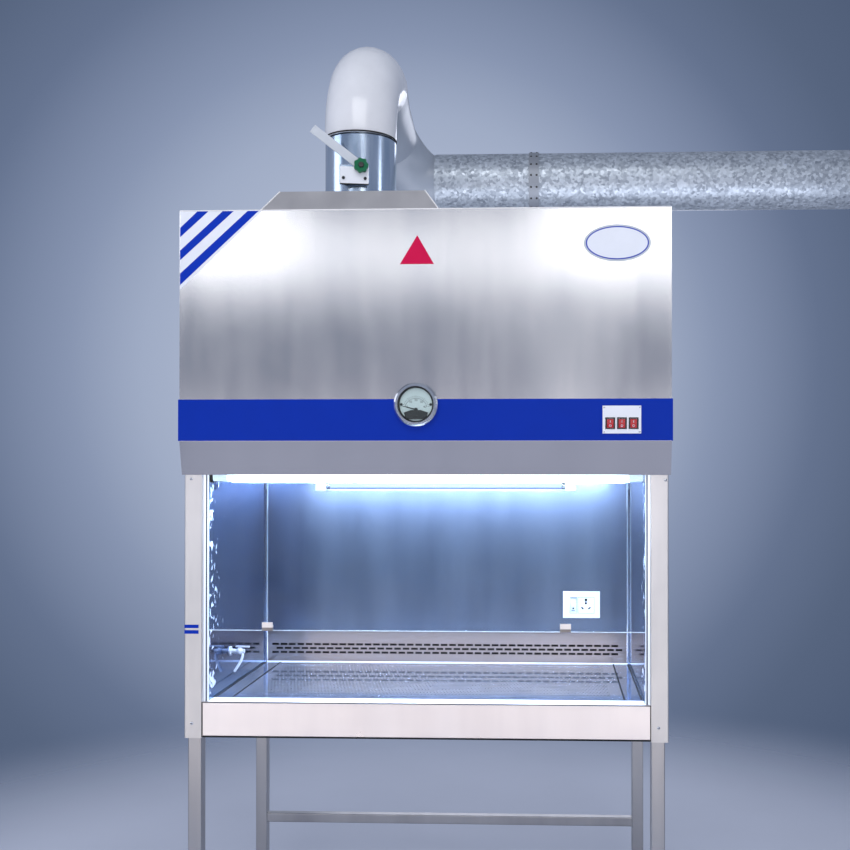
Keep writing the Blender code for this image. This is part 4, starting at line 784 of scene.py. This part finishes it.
@dataclass
class Fasteners:
    """Pan-head screws on the cabinet's own body."""

    head: float = 0.0045
    rise: float = 0.0022
    cross: float = 0.35
    back_y: float = 722.0
    side_x: float = 673.8

    def screw(self, shape: Shape, place: Matrix, size: float = 1.0) -> None:
        """One domed head whose cross recess is a dark cross of painted shade.

        Args:
            shape: the mesh it joins.
            place: matrix of the seat, Z outwards.
            size: scale of the head.
        """
        r, h = self.head * size, self.rise * size
        profile = [(0.0, h), (r * 0.35, h * 0.97), (r * 0.7, h * 0.75), (r * 0.93, h * 0.35), (r, -0.0002)]
        shape.lathe(profile, place, 20, 0)
        lift = place @ shift(0.0, 0.0, h * 0.86)
        for turn in (self.cross, self.cross + math.pi / 2):
            # The dark cross is painted shade for the recess.
            shape.slab(rectangle(r * 1.05, r * 0.2), h * 0.16, lift @ Matrix.Rotation(turn, 4, "Z"), 1)

    def build(self) -> None:
        """Screws on the posts, switch plate, rear panel and side panels."""
        shape = Shape("case_screws", "stand_steel", (CHROME, DARK_STEEL_AND_SHADE))
        for x, z in ((-654.4, 1384.0), (665.2, 1380.7), (-652.2, 701.2), (646.1, 700.2)):
            self.screw(shape, front(x, 0.0, z))
        for x in (495.5, 591.9):
            for z in (1513.2, 1579.8):
                self.screw(shape, front(x, -31.1, z), 0.55)
        back = Vector((0.0, 1.0, 0.0))
        for i in range(9):
            x = -640.0 + 160.0 * i
            for z in (690.0, 1380.0, 2105.0):
                self.screw(shape, facing(at(x, self.back_y, z), back), 1.1)
        for sign in (-1, 1):
            for z in (690.0, 960.0, 1230.0, 1460.0):
                for y in (75.0, 690.0):
                    self.screw(shape, facing(at(sign * self.side_x, y, z), Vector((sign, 0.0, 0.0))))
        shape.done()


@dataclass
class Canopy:
    """Films on the case: corner stripes, triangle, bare badge and the tapes on the left post."""

    face_y: float = -25.0
    film: float = 0.0004
    top: float = 2129.0
    half: float = 680.0
    inset: float = 1.2

    def stripe(
        self, shape: Shape, top0: float, top1: float, left0: float, left1: float, finish: int = 1
    ) -> None:
        """One corner stripe between two places on the top edge and two on the left edge.

        Args:
            shape: the mesh it joins.
            top0: where the stripe starts on the top edge, from the left corner.
            top1: where it ends there.
            left0: where it starts on the left edge, down from the corner.
            left1: where it ends there.
            finish: number of the finish.
        """
        outline = [(0.0, -left1), (top1, 0.0), (top0, 0.0), (0.0, -left0)]
        if top0 <= 0.0:
            outline = [(0.0, -left1), (top1, 0.0), (0.0, 0.0)]
        corner = front(self.inset - self.half, self.face_y, self.top - self.inset)
        shape.slab([(x * MM, y * MM) for x, y in outline], self.film * (1 + finish * 0.5), corner, finish)

    def build(self) -> None:
        """Builds the marks."""
        stripes = Shape("corner_stripes", "blue_paint", (WHITE_VINYL, BLUE_VINYL))
        self.stripe(stripes, 0.0, 232.0, 0.0, 219.0, 0)
        for top0, top1, left0, left1 in ((50.0, 81.0, 47.0, 73.0), (121.0, 152.0, 110.0, 137.0),
                                         (191.0, 222.0, 174.0, 206.0)):
            self.stripe(stripes, top0, top1, left0, left1)
        stripes.done()
        triangle = Shape("red_triangle", "red_plastic", (RED_VINYL,))
        place = front(-18.3, self.face_y, 1975.8)
        triangle.slab([(-0.0471, 0.0), (0.0471, 0.0), (0.001, 0.0797)], self.film, place)
        triangle.done()
        badge = Shape("bare_badge", "white_plastic", (BLUE_VINYL, BADGE_ENAMEL, LEVER_PAINT))
        place = front(532.0, self.face_y, 2030.1)
        badge.slab(ellipse(0.1838, 0.1018), self.film * 2, place, 2)
        badge.slab(ellipse(0.172, 0.091), self.film * 3, place, 0)
        badge.slab(ellipse(0.1655, 0.0850), self.film * 4, place, 1)
        badge.done()
        tape = Shape("post_tapes", "blue_paint", (BLUE_VINYL,))
        for low, high in ((966.8, 976.4), (950.9, 961.0)):
            tape.slab(rectangle(0.040, (high - low) * MM), self.film, front(-653.3, 0.0, (low + high) / 2))
        tape.done()


@dataclass
class Gauge:
    """Dial, scale, cover and screws of the pressure gauge."""

    x: float = -19.5
    z: float = 1588.5
    seat_y: float = -28.1
    dial_depth: float = 6.0
    scale_radius: float = 0.036
    line_radius: float = 0.0315
    number_radius: float = 0.025
    pivot_drop: float = 0.014
    sweep: Point = (165.0, 15.0)

    def angle(self, share: float) -> float:
        """Angle of a share of the scale, in radians."""
        return math.radians(self.sweep[0] + (self.sweep[1] - self.sweep[0]) * share)

    def build(self) -> None:
        """Builds the dial card with its scale and the black parts round it."""
        dial = Shape("gauge_dial", "white_plastic", (DIAL_WHITE, BLACK_ABS))
        place = front(self.x, self.seat_y - self.dial_depth, self.z)
        dial.lathe([(0.0, 0.0002), (0.0455, 0.0002), (0.0455, 0.0)], place, 64, 0)
        pivot = place @ shift(0.0, -self.pivot_drop, 0.0)
        marks = 21
        for i in range(marks):
            length = 0.0058 if i % 5 == 0 else 0.0034
            turn = Matrix.Rotation(self.angle(i / (marks - 1)), 4, "Z")
            spin = turn @ shift(self.scale_radius, 0.0, 0.00015)
            dial.slab(rectangle(length, 0.0009), 0.0002, pivot @ spin, 1)
        angles = [self.angle(1 - i / 24) for i in range(25)]
        arc = [(self.line_radius * math.cos(angle), self.line_radius * math.sin(angle)) for angle in angles]
        inner = [(x * 0.97, y * 0.97) for x, y in reversed(arc)]
        dial.slab(arc + inner, 0.0002, pivot @ shift(0.0, 0.0, 0.0001), 1)
        dial.done()
        ring = Shape("gauge_black_ring", "black_plastic", (BLACK_ABS,))
        ring.lathe([(0.0452, 0.006), (0.0497, 0.0108), (0.0497, 0.0002), (0.0452, 0.0002)], place, 64, 0)
        ring.slab([(-0.028, -0.0405), (0.028, -0.0405), (0.033, -0.022), (0.014, -0.0155), (-0.014, -0.0155),
                   (-0.033, -0.022)], 0.0035, place, 0)
        for x in (-0.0405, 0.0405):
            ring.lathe([(0.0, 0.0042), (0.0032, 0.0036), (0.004, 0.0005)], place @ shift(x, 0.0, 0.0), 16, 0)
        ring.done(0.0004)
        for i, text in enumerate(("0", "10", "20", "30", "40")):
            curve = bpy.data.curves.new("number_" + text, "FONT")
            curve.body = text
            curve.size = 0.0085
            curve.align_x = "CENTER"
            curve.align_y = "CENTER"
            curve.extrude = 0.00003
            curve.materials.append(BLACK_ABS.build())
            piece = bpy.data.objects.new("gauge_number_" + text, curve)
            bpy.context.scene.collection.objects.link(piece)
            angle = self.angle(i / 4)
            x, y = self.number_radius * math.cos(angle), self.number_radius * math.sin(angle)
            piece.matrix_world = pivot @ shift(x, y + 0.001, 0.00026)
            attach(piece, "cabinet")


@dataclass
class Switches:
    """Signs on the rockers of the switch plate."""

    x: float = 543.7
    z: float = 1536.5
    pivot_y: float = -28.6
    pitch: float = 31.8
    tilt: float = 12.0
    rise: float = 0.0042

    def build(self) -> None:
        """A bar and a ring on each rocker, tilted with it."""
        tilt = Matrix.Rotation(math.radians(self.tilt), 4, "X")
        for number in (1, 2, 3):
            sign = Shape(f"rocker_sign_{number}", "white_plastic", (WHITE_VINYL,), f"rocker_{number}_body")
            pivot = level(self.x + (number - 2) * self.pitch, self.pivot_y, self.z) @ tilt
            sign.slab(rectangle(0.0014, 0.0058), 0.0003, pivot @ shift(0.0, -self.rise, 0.0055) @ TO_USER)
            sign.lathe([(0.0022, 0.0003), (0.0032, 0.0003), (0.0032, -0.0001), (0.0022, -0.0001),
                        (0.0022, 0.0003)], pivot @ shift(0.0, -self.rise, -0.0060) @ TO_USER, 24)
            sign.done()


@dataclass
class Chamber:
    """Coved corners, lamp caps, filter guard, painted glare on the tray's foot and front rim, and painted
    shade in the gaps round the tray and base and behind the slots.
    """

    half: float = 610.0
    back: float = 609.7
    floor: float = 760.0
    ceiling: float = 1373.5
    cove: float = 7.0

    def build(self) -> None:
        """Builds the small pieces."""
        strip = Shape("corner_coves", "liner_steel", (DECK_STEEL,))
        r = self.cove * MM
        for sign in (-1, 1):
            outline = [(0.0, 0.0), (-sign * r, 0.0)]
            for i in range(1, 6):
                angle = math.radians(90.0 * i / 6)
                outline.append((-sign * r * (1 - math.sin(angle)), -r * (1 - math.cos(angle))))
            outline.append((0.0, -r))
            if sign < 0:
                outline = outline[::-1]
            place = level(sign * (self.half - 0.4), self.back - 0.3, self.floor + 0.3)
            strip.slab(outline, (self.ceiling - self.floor) * MM - 0.001, place)
        strip.done()
        caps = Shape("lamp_caps", "white_plastic", (CHROME, LAMP_HOLDER))
        for sign in (-1, 1):
            place = facing(at(sign * 398.2, 581.7, 1355.0), Vector((-sign, 0.0, 0.0)))
            caps.lathe([(0.0, 0.014), (0.0105, 0.014), (0.0138, 0.011), (0.0138, 0.0)], place, 24, 0)
            # The work lamp's caps carry its glare, painted in as emission.
            place = facing(at(sign * 608.0, 56.0, 1390.0), Vector((-sign, 0.0, 0.0)))
            caps.lathe([(0.0, 0.040), (0.0134, 0.040), (0.0134, 0.0), (0.0, 0.0)], place, 24, 1)
        caps.done()
        # Glare along the tray's foot and front rim, painted in as emission.
        lit = Shape("tray_painted_glare", "liner_steel", (TRAY_EDGE,))
        lit.slab(rectangle(1.216, 0.0024), 0.0006, front(0.0, 609.2, 761.6))
        lit.slab(rectangle(1.218, 0.052), 0.0004, level(0.0, 35.0, 760.1))
        lit.done()
        # Dark strips in the gaps beside the tray and along the base panel: painted shade.
        gaps = Shape("gap_painted_shade", "stand_steel", (SHADE_BLACK,))
        for sign in (-1, 1):
            for x, width in ((557.5, 0.0045), (606.0, 0.0055)):
                gaps.slab(rectangle(width, 0.540), 0.0003, level(sign * x, 333.0, 760.1))
        for x in (-624.8, 624.8):
            gaps.slab(rectangle(0.0036, 0.098), 0.0006, front(x, 1.0, 711.5))
        for z, height in ((759.6, 0.0022), (663.8, 0.0040)):
            gaps.slab(rectangle(1.246, height), 0.0005, front(0.0, 2.6, z))
        gaps.done()
        # Dark strip behind the return slots: painted shade.
        slot_shade = Shape("slot_painted_shade", "stand_steel", (SHADE_BLACK,))
        slot_shade.slab(rectangle(1.196, 0.060), 0.0006, front(0.0, 622.0, 812.0))
        slot_shade.done()
        guard = Shape("filter_guard", "liner_steel", (DULL_STEEL,))
        for i in range(23):
            x = -561.0 + 51.0 * i
            guard.slab(rectangle(0.003, 0.420), 0.0015, level(x, 346.5, 1371.8))
        for i in range(9):
            y = 140.0 + 51.5 * i
            guard.slab(rectangle(1.136, 0.003), 0.0015, level(0.0, y, 1370.1))
        guard.done()


@dataclass
class Socket:
    """Painted shade in the mouths of the socket and its switch, and their moulded seams."""

    x: float = 466.8
    earth_z: float = 973.7
    pins: Point = (11.7, 946.2)

    def build(self) -> None:
        """Builds the painted shade of the mouths and the seams, just proud of the plate."""
        low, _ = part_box("socket_plate")
        face = (low.y - MIDDLE.y) / MM - 0.1
        marks = Shape("socket_marks", "black_plastic", (MOUTH_SHADE, SEAM_GREY))
        # Dark discs and slabs in the socket's holes: painted shade.
        for z, radius in ((self.earth_z, 0.0042), (self.earth_z - 11.5, 0.0034)):
            marks.lathe([(0.0, 0.0002), (radius, 0.0002), (radius, 0.0)], front(self.x, face, z), 20, 0)
        for sign in (-1, 1):
            place = front(self.x + sign * self.pins[0], face, self.pins[1])
            marks.slab(rectangle(0.0092, 0.0044), 0.0002, place @ Matrix.Rotation(sign * 0.7, 4, "Z"), 0)
        marks.frame(0.055, 0.054, 0.0012, 0.0002, front(self.x + 0.6, face, 955.5), 1)
        marks.frame(0.024, 0.054, 0.0012, 0.0002, front(self.x - 41.5, face, 955.5), 1)
        marks.done()
        switch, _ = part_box("wall_switch")
        sign = Shape("wall_switch_shade_and_seam", "black_plastic", (MOUTH_SHADE, SEAM_GREY), "wall_switch_body")
        # A dark slab sunk in the switch's recess as painted shade, and a moulded seam.
        for z, sunk, width, height, tone in ((0.9460, 0.0022, 0.0048, 0.0040, 0),
                                             (0.9386, 0.0012, 0.0110, 0.0024, 1)):
            place = shift(switch.x + 0.011, switch.y + sunk, z) @ TO_USER
            sign.slab(rectangle(width, height), 0.0025, place, tone)
        sign.done()


@dataclass
class Sash:
    """Ground lower edge of the sash glass."""

    half: float = 620.5
    bottom: float = 960.0

    def build(self) -> None:
        """A thin pale strip under the edge, which the lamp lights from behind."""
        edge = Shape("sash_ground_edge", "glass", (MILK_EDGE,), "sash")
        edge.slab(rectangle(2 * self.half * MM, 0.0048), 0.0016, level(0.0, 18.0, self.bottom - 1.7))
        edge.done()


@dataclass
class Exhaust:
    """Rivets, bolts and seams of the hood, collar and ducts, painted highlights on the folds, and painted
    shade at the collar rim and under the bracket plate.
    """

    duct_y: float = 1165.0
    duct_z: float = 2516.0
    band_x: float = 286.5
    band_radius: float = 0.1134
    rivets: int = 16
    damper: Spot = (-236.0, 320.0, 2311.0)
    damper_turn: float = 10.4
    rim_radius: float = 0.1105
    rim_half: float = 0.0024
    rim_rise: float = 0.0014

    def build(self) -> None:
        """Builds the small pieces."""
        band = Shape("duct_rivets", "galvanised", (BLACK_ABS, BAND_ZINC))
        for i in range(self.rivets):
            angle = 2 * math.pi * i / self.rivets
            out = Vector((0.0, math.cos(angle), math.sin(angle)))
            for x in (self.band_x - 10.5, self.band_x + 10.5):
                place = facing(at(x, self.duct_y, self.duct_z) + out * self.band_radius, out)
                band.lathe([(0.0, 0.0022), (0.0034, 0.0014), (0.0042, -0.0004)], place, 10, 0)
        axis = facing(at(self.band_x, self.duct_y, self.duct_z), Vector((1.0, 0.0, 0.0)))
        inner, outer, half = self.band_radius - 0.0005, self.band_radius, 0.019
        band.lathe([(inner, half), (outer, half), (outer, -half), (inner, -half), (inner, half)], axis, 64, 1)
        band.done()
        self.folds()
        bolts = Shape("damper_bolts", "stand_steel", (DARK_STEEL_AND_SHADE, WHITE_VINYL, SHADE_BLACK))
        turn = level(*self.damper) @ Matrix.Rotation(math.radians(self.damper_turn), 4, "Z")
        for x in (-0.052, 0.012):
            seat = turn @ shift(x, -0.1233, -0.036) @ TO_USER
            bolts.lathe([(0.0, 0.0045), (0.0042, 0.0045), (0.005, 0.0036), (0.005, 0.0)], seat, 6, 0)
        face = turn @ shift(-0.020, -0.1234, -0.027) @ TO_USER
        bolts.slab(rectangle(0.084, 0.050), 0.0006, face, 1)
        # Dark strip under the bracket plate: painted shadow.
        face = turn @ shift(-0.020, -0.1234, -0.0535) @ TO_USER
        bolts.slab(rectangle(0.084, 0.0035), 0.0010, face, 2)
        bolts.done()
        nut = Shape("knob_bolt", "stand_steel", (BLACK_ABS,), "knob")
        seat = turn @ shift(0.0, -0.1413, 0.0) @ TO_USER
        nut.lathe([(0.0, 0.0036), (0.0040, 0.0042), (0.0078, 0.0042), (0.0088, 0.003), (0.0088, 0.0),
                   (0.0, 0.0)], seat, 6)
        nut.done()

    def folds(self) -> None:
        """Painted highlights along the corners of the hood and canopy, and a ring of painted shade at the rim
        over the collar.
        """
        seams = Shape("fold_highlights_and_rim_shade", "stand_steel", (FOLD_HIGHLIGHT, SHADE_BLACK))
        low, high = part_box("exhaust_hood")
        corners = [v.co for v in bpy.data.objects["exhaust_hood"].data.vertices]
        top = [c for c in corners if c.z > high.z - 0.004]
        foot = [c for c in corners if c.z < low.z + 0.004 and low.x + 0.01 < c.x < high.x - 0.01
                and low.y + 0.01 < c.y < high.y - 0.01]
        # Bars of painted highlight on the hood's corners.
        for sx in (-1, 1):
            for sy in (-1, 1):
                ends = [max(part, key=lambda c: sx * c.x + sy * c.y) for part in (foot, top)]
                seams.bar(Vector(ends[0]), Vector(ends[1]), 0.0020)
        # Bars of painted highlight along the canopy's top edges.
        near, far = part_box("canopy_casing")
        for y in (near.y, far.y):
            ends = [Vector((x, y, far.z - 0.001)) for x in (near.x + 0.001, far.x - 0.001)]
            seams.bar(ends[0], ends[1], 0.0018)
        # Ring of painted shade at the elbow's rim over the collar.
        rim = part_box("duct_elbow")[0].z
        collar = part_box("exhaust_collar")
        axis = (collar[0] + collar[1]) / 2
        place = shift(axis.x, axis.y, rim)
        inner, outer, half = self.rim_radius, self.rim_radius + self.rim_rise, self.rim_half
        seams.lathe([(inner, half), (outer, half / 2), (outer, -half / 2), (inner, -half),
                     (inner - 0.0004, 0.0), (inner, half)], place, 64, 1)
        seams.done()


@dataclass(frozen=True)
class SoftBox:
    """A rectangular area light: places in millimetres, size in metres, power in watts."""

    name: str
    place: Spot
    target: Spot
    size: Point
    power: float
    colour: str = PURE_WHITE

    def build(self) -> None:
        """Adds the light, which the camera doesn't see."""
        data = bpy.data.lights.new(self.name, "AREA")
        data.shape = "RECTANGLE"
        data.size, data.size_y = self.size
        data.energy = self.power
        data.color = linear(self.colour)[:3]
        made = bpy.data.objects.new(self.name, data)
        made.location = at(*self.place)
        way = at(*self.target) - made.location
        made.rotation_euler = way.to_track_quat("-Z", "Y").to_euler()
        made.visible_camera = False
        bpy.context.scene.collection.objects.link(made)


FACE = (0.0, 0.0, 2000.0)
CASE_MIDDLE = (0.0, 300.0, 1500.0)
COOL_WHITE = "eef2ff"
WARM_WHITE = "f6f7fb"
SOFT_BOXES = (
    SoftBox("front_band", (-150.0, -3600.0, 2730.0), FACE, (3.9, 0.40), 8.6),
    SoftBox("front_right", (950.0, -3600.0, 2990.0), FACE, (1.15, 0.52), 5.5),
    SoftBox("front_left", (-1800.0, -3600.0, 2990.0), FACE, (0.9, 0.5), 4.5),
    SoftBox("front_strip", (430.0, -3600.0, 1800.0), (0.0, 0.0, 1800.0), (0.45, 1.1), 0.7),
    SoftBox("fill", (0.0, -2500.0, 4300.0), FACE, (2.4, 1.6), 44.0),
    SoftBox("low_band", (-150.0, -3600.0, 1465.0), (0.0, 0.0, 1465.0), (3.9, 0.20), 6.5, "fff4f2"),
    SoftBox("room_glow", (-150.0, -3600.0, 1225.0), (0.0, 0.0, 1225.0), (3.9, 0.26), 6.0, "ece9f4"),
    SoftBox("low_left", (-2480.0, -4300.0, 700.0), (-650.0, 0.0, 1000.0), (0.95, 1.3), 8.0, WARM_WHITE),
    SoftBox("low_right", (1400.0, -4300.0, 700.0), (650.0, 0.0, 1000.0), (0.75, 1.3), 6.6, WARM_WHITE),
    SoftBox("floor_glow", (-330.0, -3100.0, 15.0), (-330.0, -3000.0, 900.0), (3.6, 2.0), 33.0, "fff6f2"),
    SoftBox("left_side", (-3600.0, -900.0, 2200.0), CASE_MIDDLE, (1.6, 2.6), 36.0, COOL_WHITE),
    SoftBox("right_side", (3900.0, -900.0, 2200.0), CASE_MIDDLE, (0.5, 2.6), 20.0, COOL_WHITE),
    SoftBox("under_duct", (500.0, 860.0, 2145.0), (500.0, 1165.0, 2516.0), (2.0, 0.25), 4.0, COOL_WHITE),
    SoftBox("top", (0.0, 300.0, 5200.0), CASE_MIDDLE, (3.4, 3.4), 7.0, "f4f7ff"),
    SoftBox("back", (200.0, 4600.0, 2800.0), CASE_MIDDLE, (3.0, 2.0), 40.0, COOL_WHITE),
    SoftBox("chamber_lamp", (0.0, 62.0, 1372.0), (0.0, 330.0, 760.0), (1.14, 0.03), 28.0, "ccdaf8"),
)


@dataclass
class Studio:
    """Camera at the photograph's place, floor, backdrop and soft boxes."""

    focal_px: float = 1050.6
    frame_px: float = 850.0
    axis_px: Point = (510.8, 458.4)
    camera_mm: Spot = (349.0, -2903.0, 1423.0)
    yaw: float = 2.16
    pitch: float = 0.35
    sensor_mm: float = 36.0
    pool_degrees: Point = (-8.0, 5.0)
    pool: tuple[tuple[float, str], ...] = (
        (0.865, "4f5d77"), (0.900, "57657f"), (0.927, "65738f"), (0.956, "8794b0"), (0.973, "a0acc5"),
        (1.0, "b4bed4"),
    )

    def camera(self) -> None:
        """Sets up the camera; its shift only frames the picture as the photograph is framed."""
        data = bpy.data.cameras.new("camera")
        data.sensor_width = self.sensor_mm
        data.lens = self.sensor_mm * self.focal_px / self.frame_px
        data.shift_x = 0.5 - self.axis_px[0] / self.frame_px
        data.shift_y = self.axis_px[1] / self.frame_px - 0.5
        data.clip_end = 100.0
        made = bpy.data.objects.new("camera", data)
        made.location = at(*self.camera_mm)
        made.rotation_euler = (math.radians(90.0 + self.pitch), 0.0, math.radians(self.yaw))
        bpy.context.scene.collection.objects.link(made)
        bpy.context.scene.camera = made

    def backdrop(self) -> None:
        """World: an even grey-blue ambient, and for the eye a soft pool of light on a backdrop."""
        world = bpy.data.worlds.new("studio")
        world.use_nodes = True
        bpy.context.scene.world = world
        tree = world.node_tree
        tree.nodes.clear()
        around, above = (math.radians(angle) for angle in self.pool_degrees)
        out = math.cos(above)
        aim = Vector((math.sin(around) * out, math.cos(around) * out, math.sin(above)))
        way = add_node(tree, "ShaderNodeTexCoord").outputs["Generated"]
        near = add_node(tree, "ShaderNodeVectorMath", {0: way, 1: aim}, operation="DOT_PRODUCT")
        ramp = add_node(tree, "ShaderNodeValToRGB", {0: near.outputs["Value"]})
        stops = ramp.color_ramp.elements
        for stop, (position, colour) in ((stops[0], self.pool[0]), (stops[1], self.pool[-1])):
            stop.position, stop.color = position, linear(colour)
        for position, colour in self.pool[1:-1]:
            stops.new(position).color = linear(colour)
        seen = add_node(tree, "ShaderNodeBackground", {"Color": ramp.outputs["Color"], "Strength": 1.0})
        even = add_node(tree, "ShaderNodeBackground", {"Color": linear("97a0b6"), "Strength": 0.95})
        eye = add_node(tree, "ShaderNodeLightPath").outputs["Is Camera Ray"]
        mix = add_node(tree, "ShaderNodeMixShader", {0: eye, 1: even.outputs[0], 2: seen.outputs[0]})
        add_node(tree, "ShaderNodeOutputWorld", {"Surface": mix.outputs[0]})

    def floor(self) -> None:
        """Plain pale floor that fades into the backdrop some way behind the cabinet."""
        mesh = bpy.data.meshes.new("floor")
        work = bmesh.new()
        bmesh.ops.create_grid(work, x_segments=1, y_segments=1, size=30.0)
        work.to_mesh(mesh)
        work.free()
        mesh.materials.append(FadingFloor("floor_paint", "c8cdd9", 0.55).build())
        made = bpy.data.objects.new("floor", mesh)
        made.location = at(0.0, 300.0, -0.5)
        bpy.context.scene.collection.objects.link(made)

    def build(self) -> None:
        """Builds camera, floor, world and lights."""
        self.camera()
        self.backdrop()
        self.floor()
        bpy.context.scene.view_settings.view_transform = "Standard"
        for box in SOFT_BOXES:
            box.build()


# Folded sheet and flat plates, which keep their hard edges.
FLAT_NODES: tuple[tuple[Finish, str], ...] = (
    (CANOPY_STEEL, "canopy_casing"),
    (PANEL_STEEL, "side_panel_left side_panel_right rear_panel"),
    (SHADED_LEG_STEEL, "rear_crossbar leg_front_left leg_front_right leg_rear_left leg_rear_right"),
    (FRAME_STEEL, "front_post_left front_post_right"),
    (BASE_STEEL, "base_front_panel sash_top_rail"),
    (CLIP_STEEL, "sash_clip_left sash_clip_right"),
    (GUIDE_EDGE, "sash_guide_left sash_guide_right"),
    (LINER_STEEL, "rear_wall"),
    (SIDE_STEEL, "liner_side_left liner_side_right"),
    (DECK_STEEL, "work_basin ceiling_panel"),
    (GLASS, "sash_glass gauge_lens"),
    (BLUE_ENAMEL, "blue_band"),
)
# Turned, moulded and rolled pieces, shaded smooth.
ROUND_NODES: tuple[tuple[Finish, str], ...] = (
    (HOOD_STEEL, "exhaust_hood blower_motor"),
    (DULL_STEEL, "plenum blower_housing pulley_beam"),
    (CAST, "counterweight_left counterweight_right"),
    (NYLON, "pulley_left pulley_right"),
    (DARK_STEEL_AND_SHADE, "sash_cable_left sash_cable_right"),
    (CHROME, "gauge_case"),
    (BLACK_ABS, "gauge_pointer"),
    (SteppedPlastic("switch_plate_abs", "e9ecf1", 0.3, depth=MIDDLE.y - 0.0313), "switch_plate"),
    (RED_PC, "rocker_1 rocker_2 rocker_3"),
    (SOCKET_ABS, "socket_plate wall_switch"),
    (TAP_PAINT, "valve_body valve_handle"),
    (LAMP_HOLDER, "uv_lamp_fitting"),
    (UV_TUBE_GLARE, "uv_lamp"),
    (Glow("lamp_tube", PURE_WHITE, 0.3, strength=7.0, centre=MIDDLE.x, half=0.575), "work_lamp"),
    (PAPER, "supply_filter exhaust_filter"),
    (ZINC, "main_duct blower_impeller"),
    (COLLAR_ZINC, "exhaust_collar damper_blade"),
    (LEVER_PAINT, "damper_lever"),
    (GREEN_KNOB, "damper_knob"),
    (WHITE_DUCT, "duct_elbow"),
    (GREY_DUCT, "rear_duct"),
)


def dress_nodes(frame: dict[str, Any], rim: Point = (0.035, 0.032)) -> None:
    """Gives every CAD node its finish.

    Args:
        rim: width of the tray's plain rim along X and Y.
    """
    low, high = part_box("work_tray")
    tray = PunchedSteel("tray_stainless", "e2e9f4", 0.025, shade="d5deec", depth=0.0, spread=0.005, haze=0.13,
                        haze_roughness=0.8, low=(low.x + rim[0], low.y + rim[1]),
                        high=(high.x - rim[0], high.y - rim[1]))
    for finish, names in FLAT_NODES + ((tray, "work_tray"),):
        dress(frame, finish, names.split(), soft=False)
    for finish, names in ROUND_NODES:
        dress(frame, finish, names.split(), soft=True)


def main() -> None:
    """Loads the frame, dresses it, adds the small pieces and sets the studio."""
    logging.basicConfig(level=logging.INFO, format="%(message)s")
    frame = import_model()
    dress_nodes(frame)
    for kind in (Studio, Fasteners, Canopy, Gauge, Switches, Chamber, Socket, Sash, Exhaust):
        kind().build()


if __name__ == "__main__":
    main()
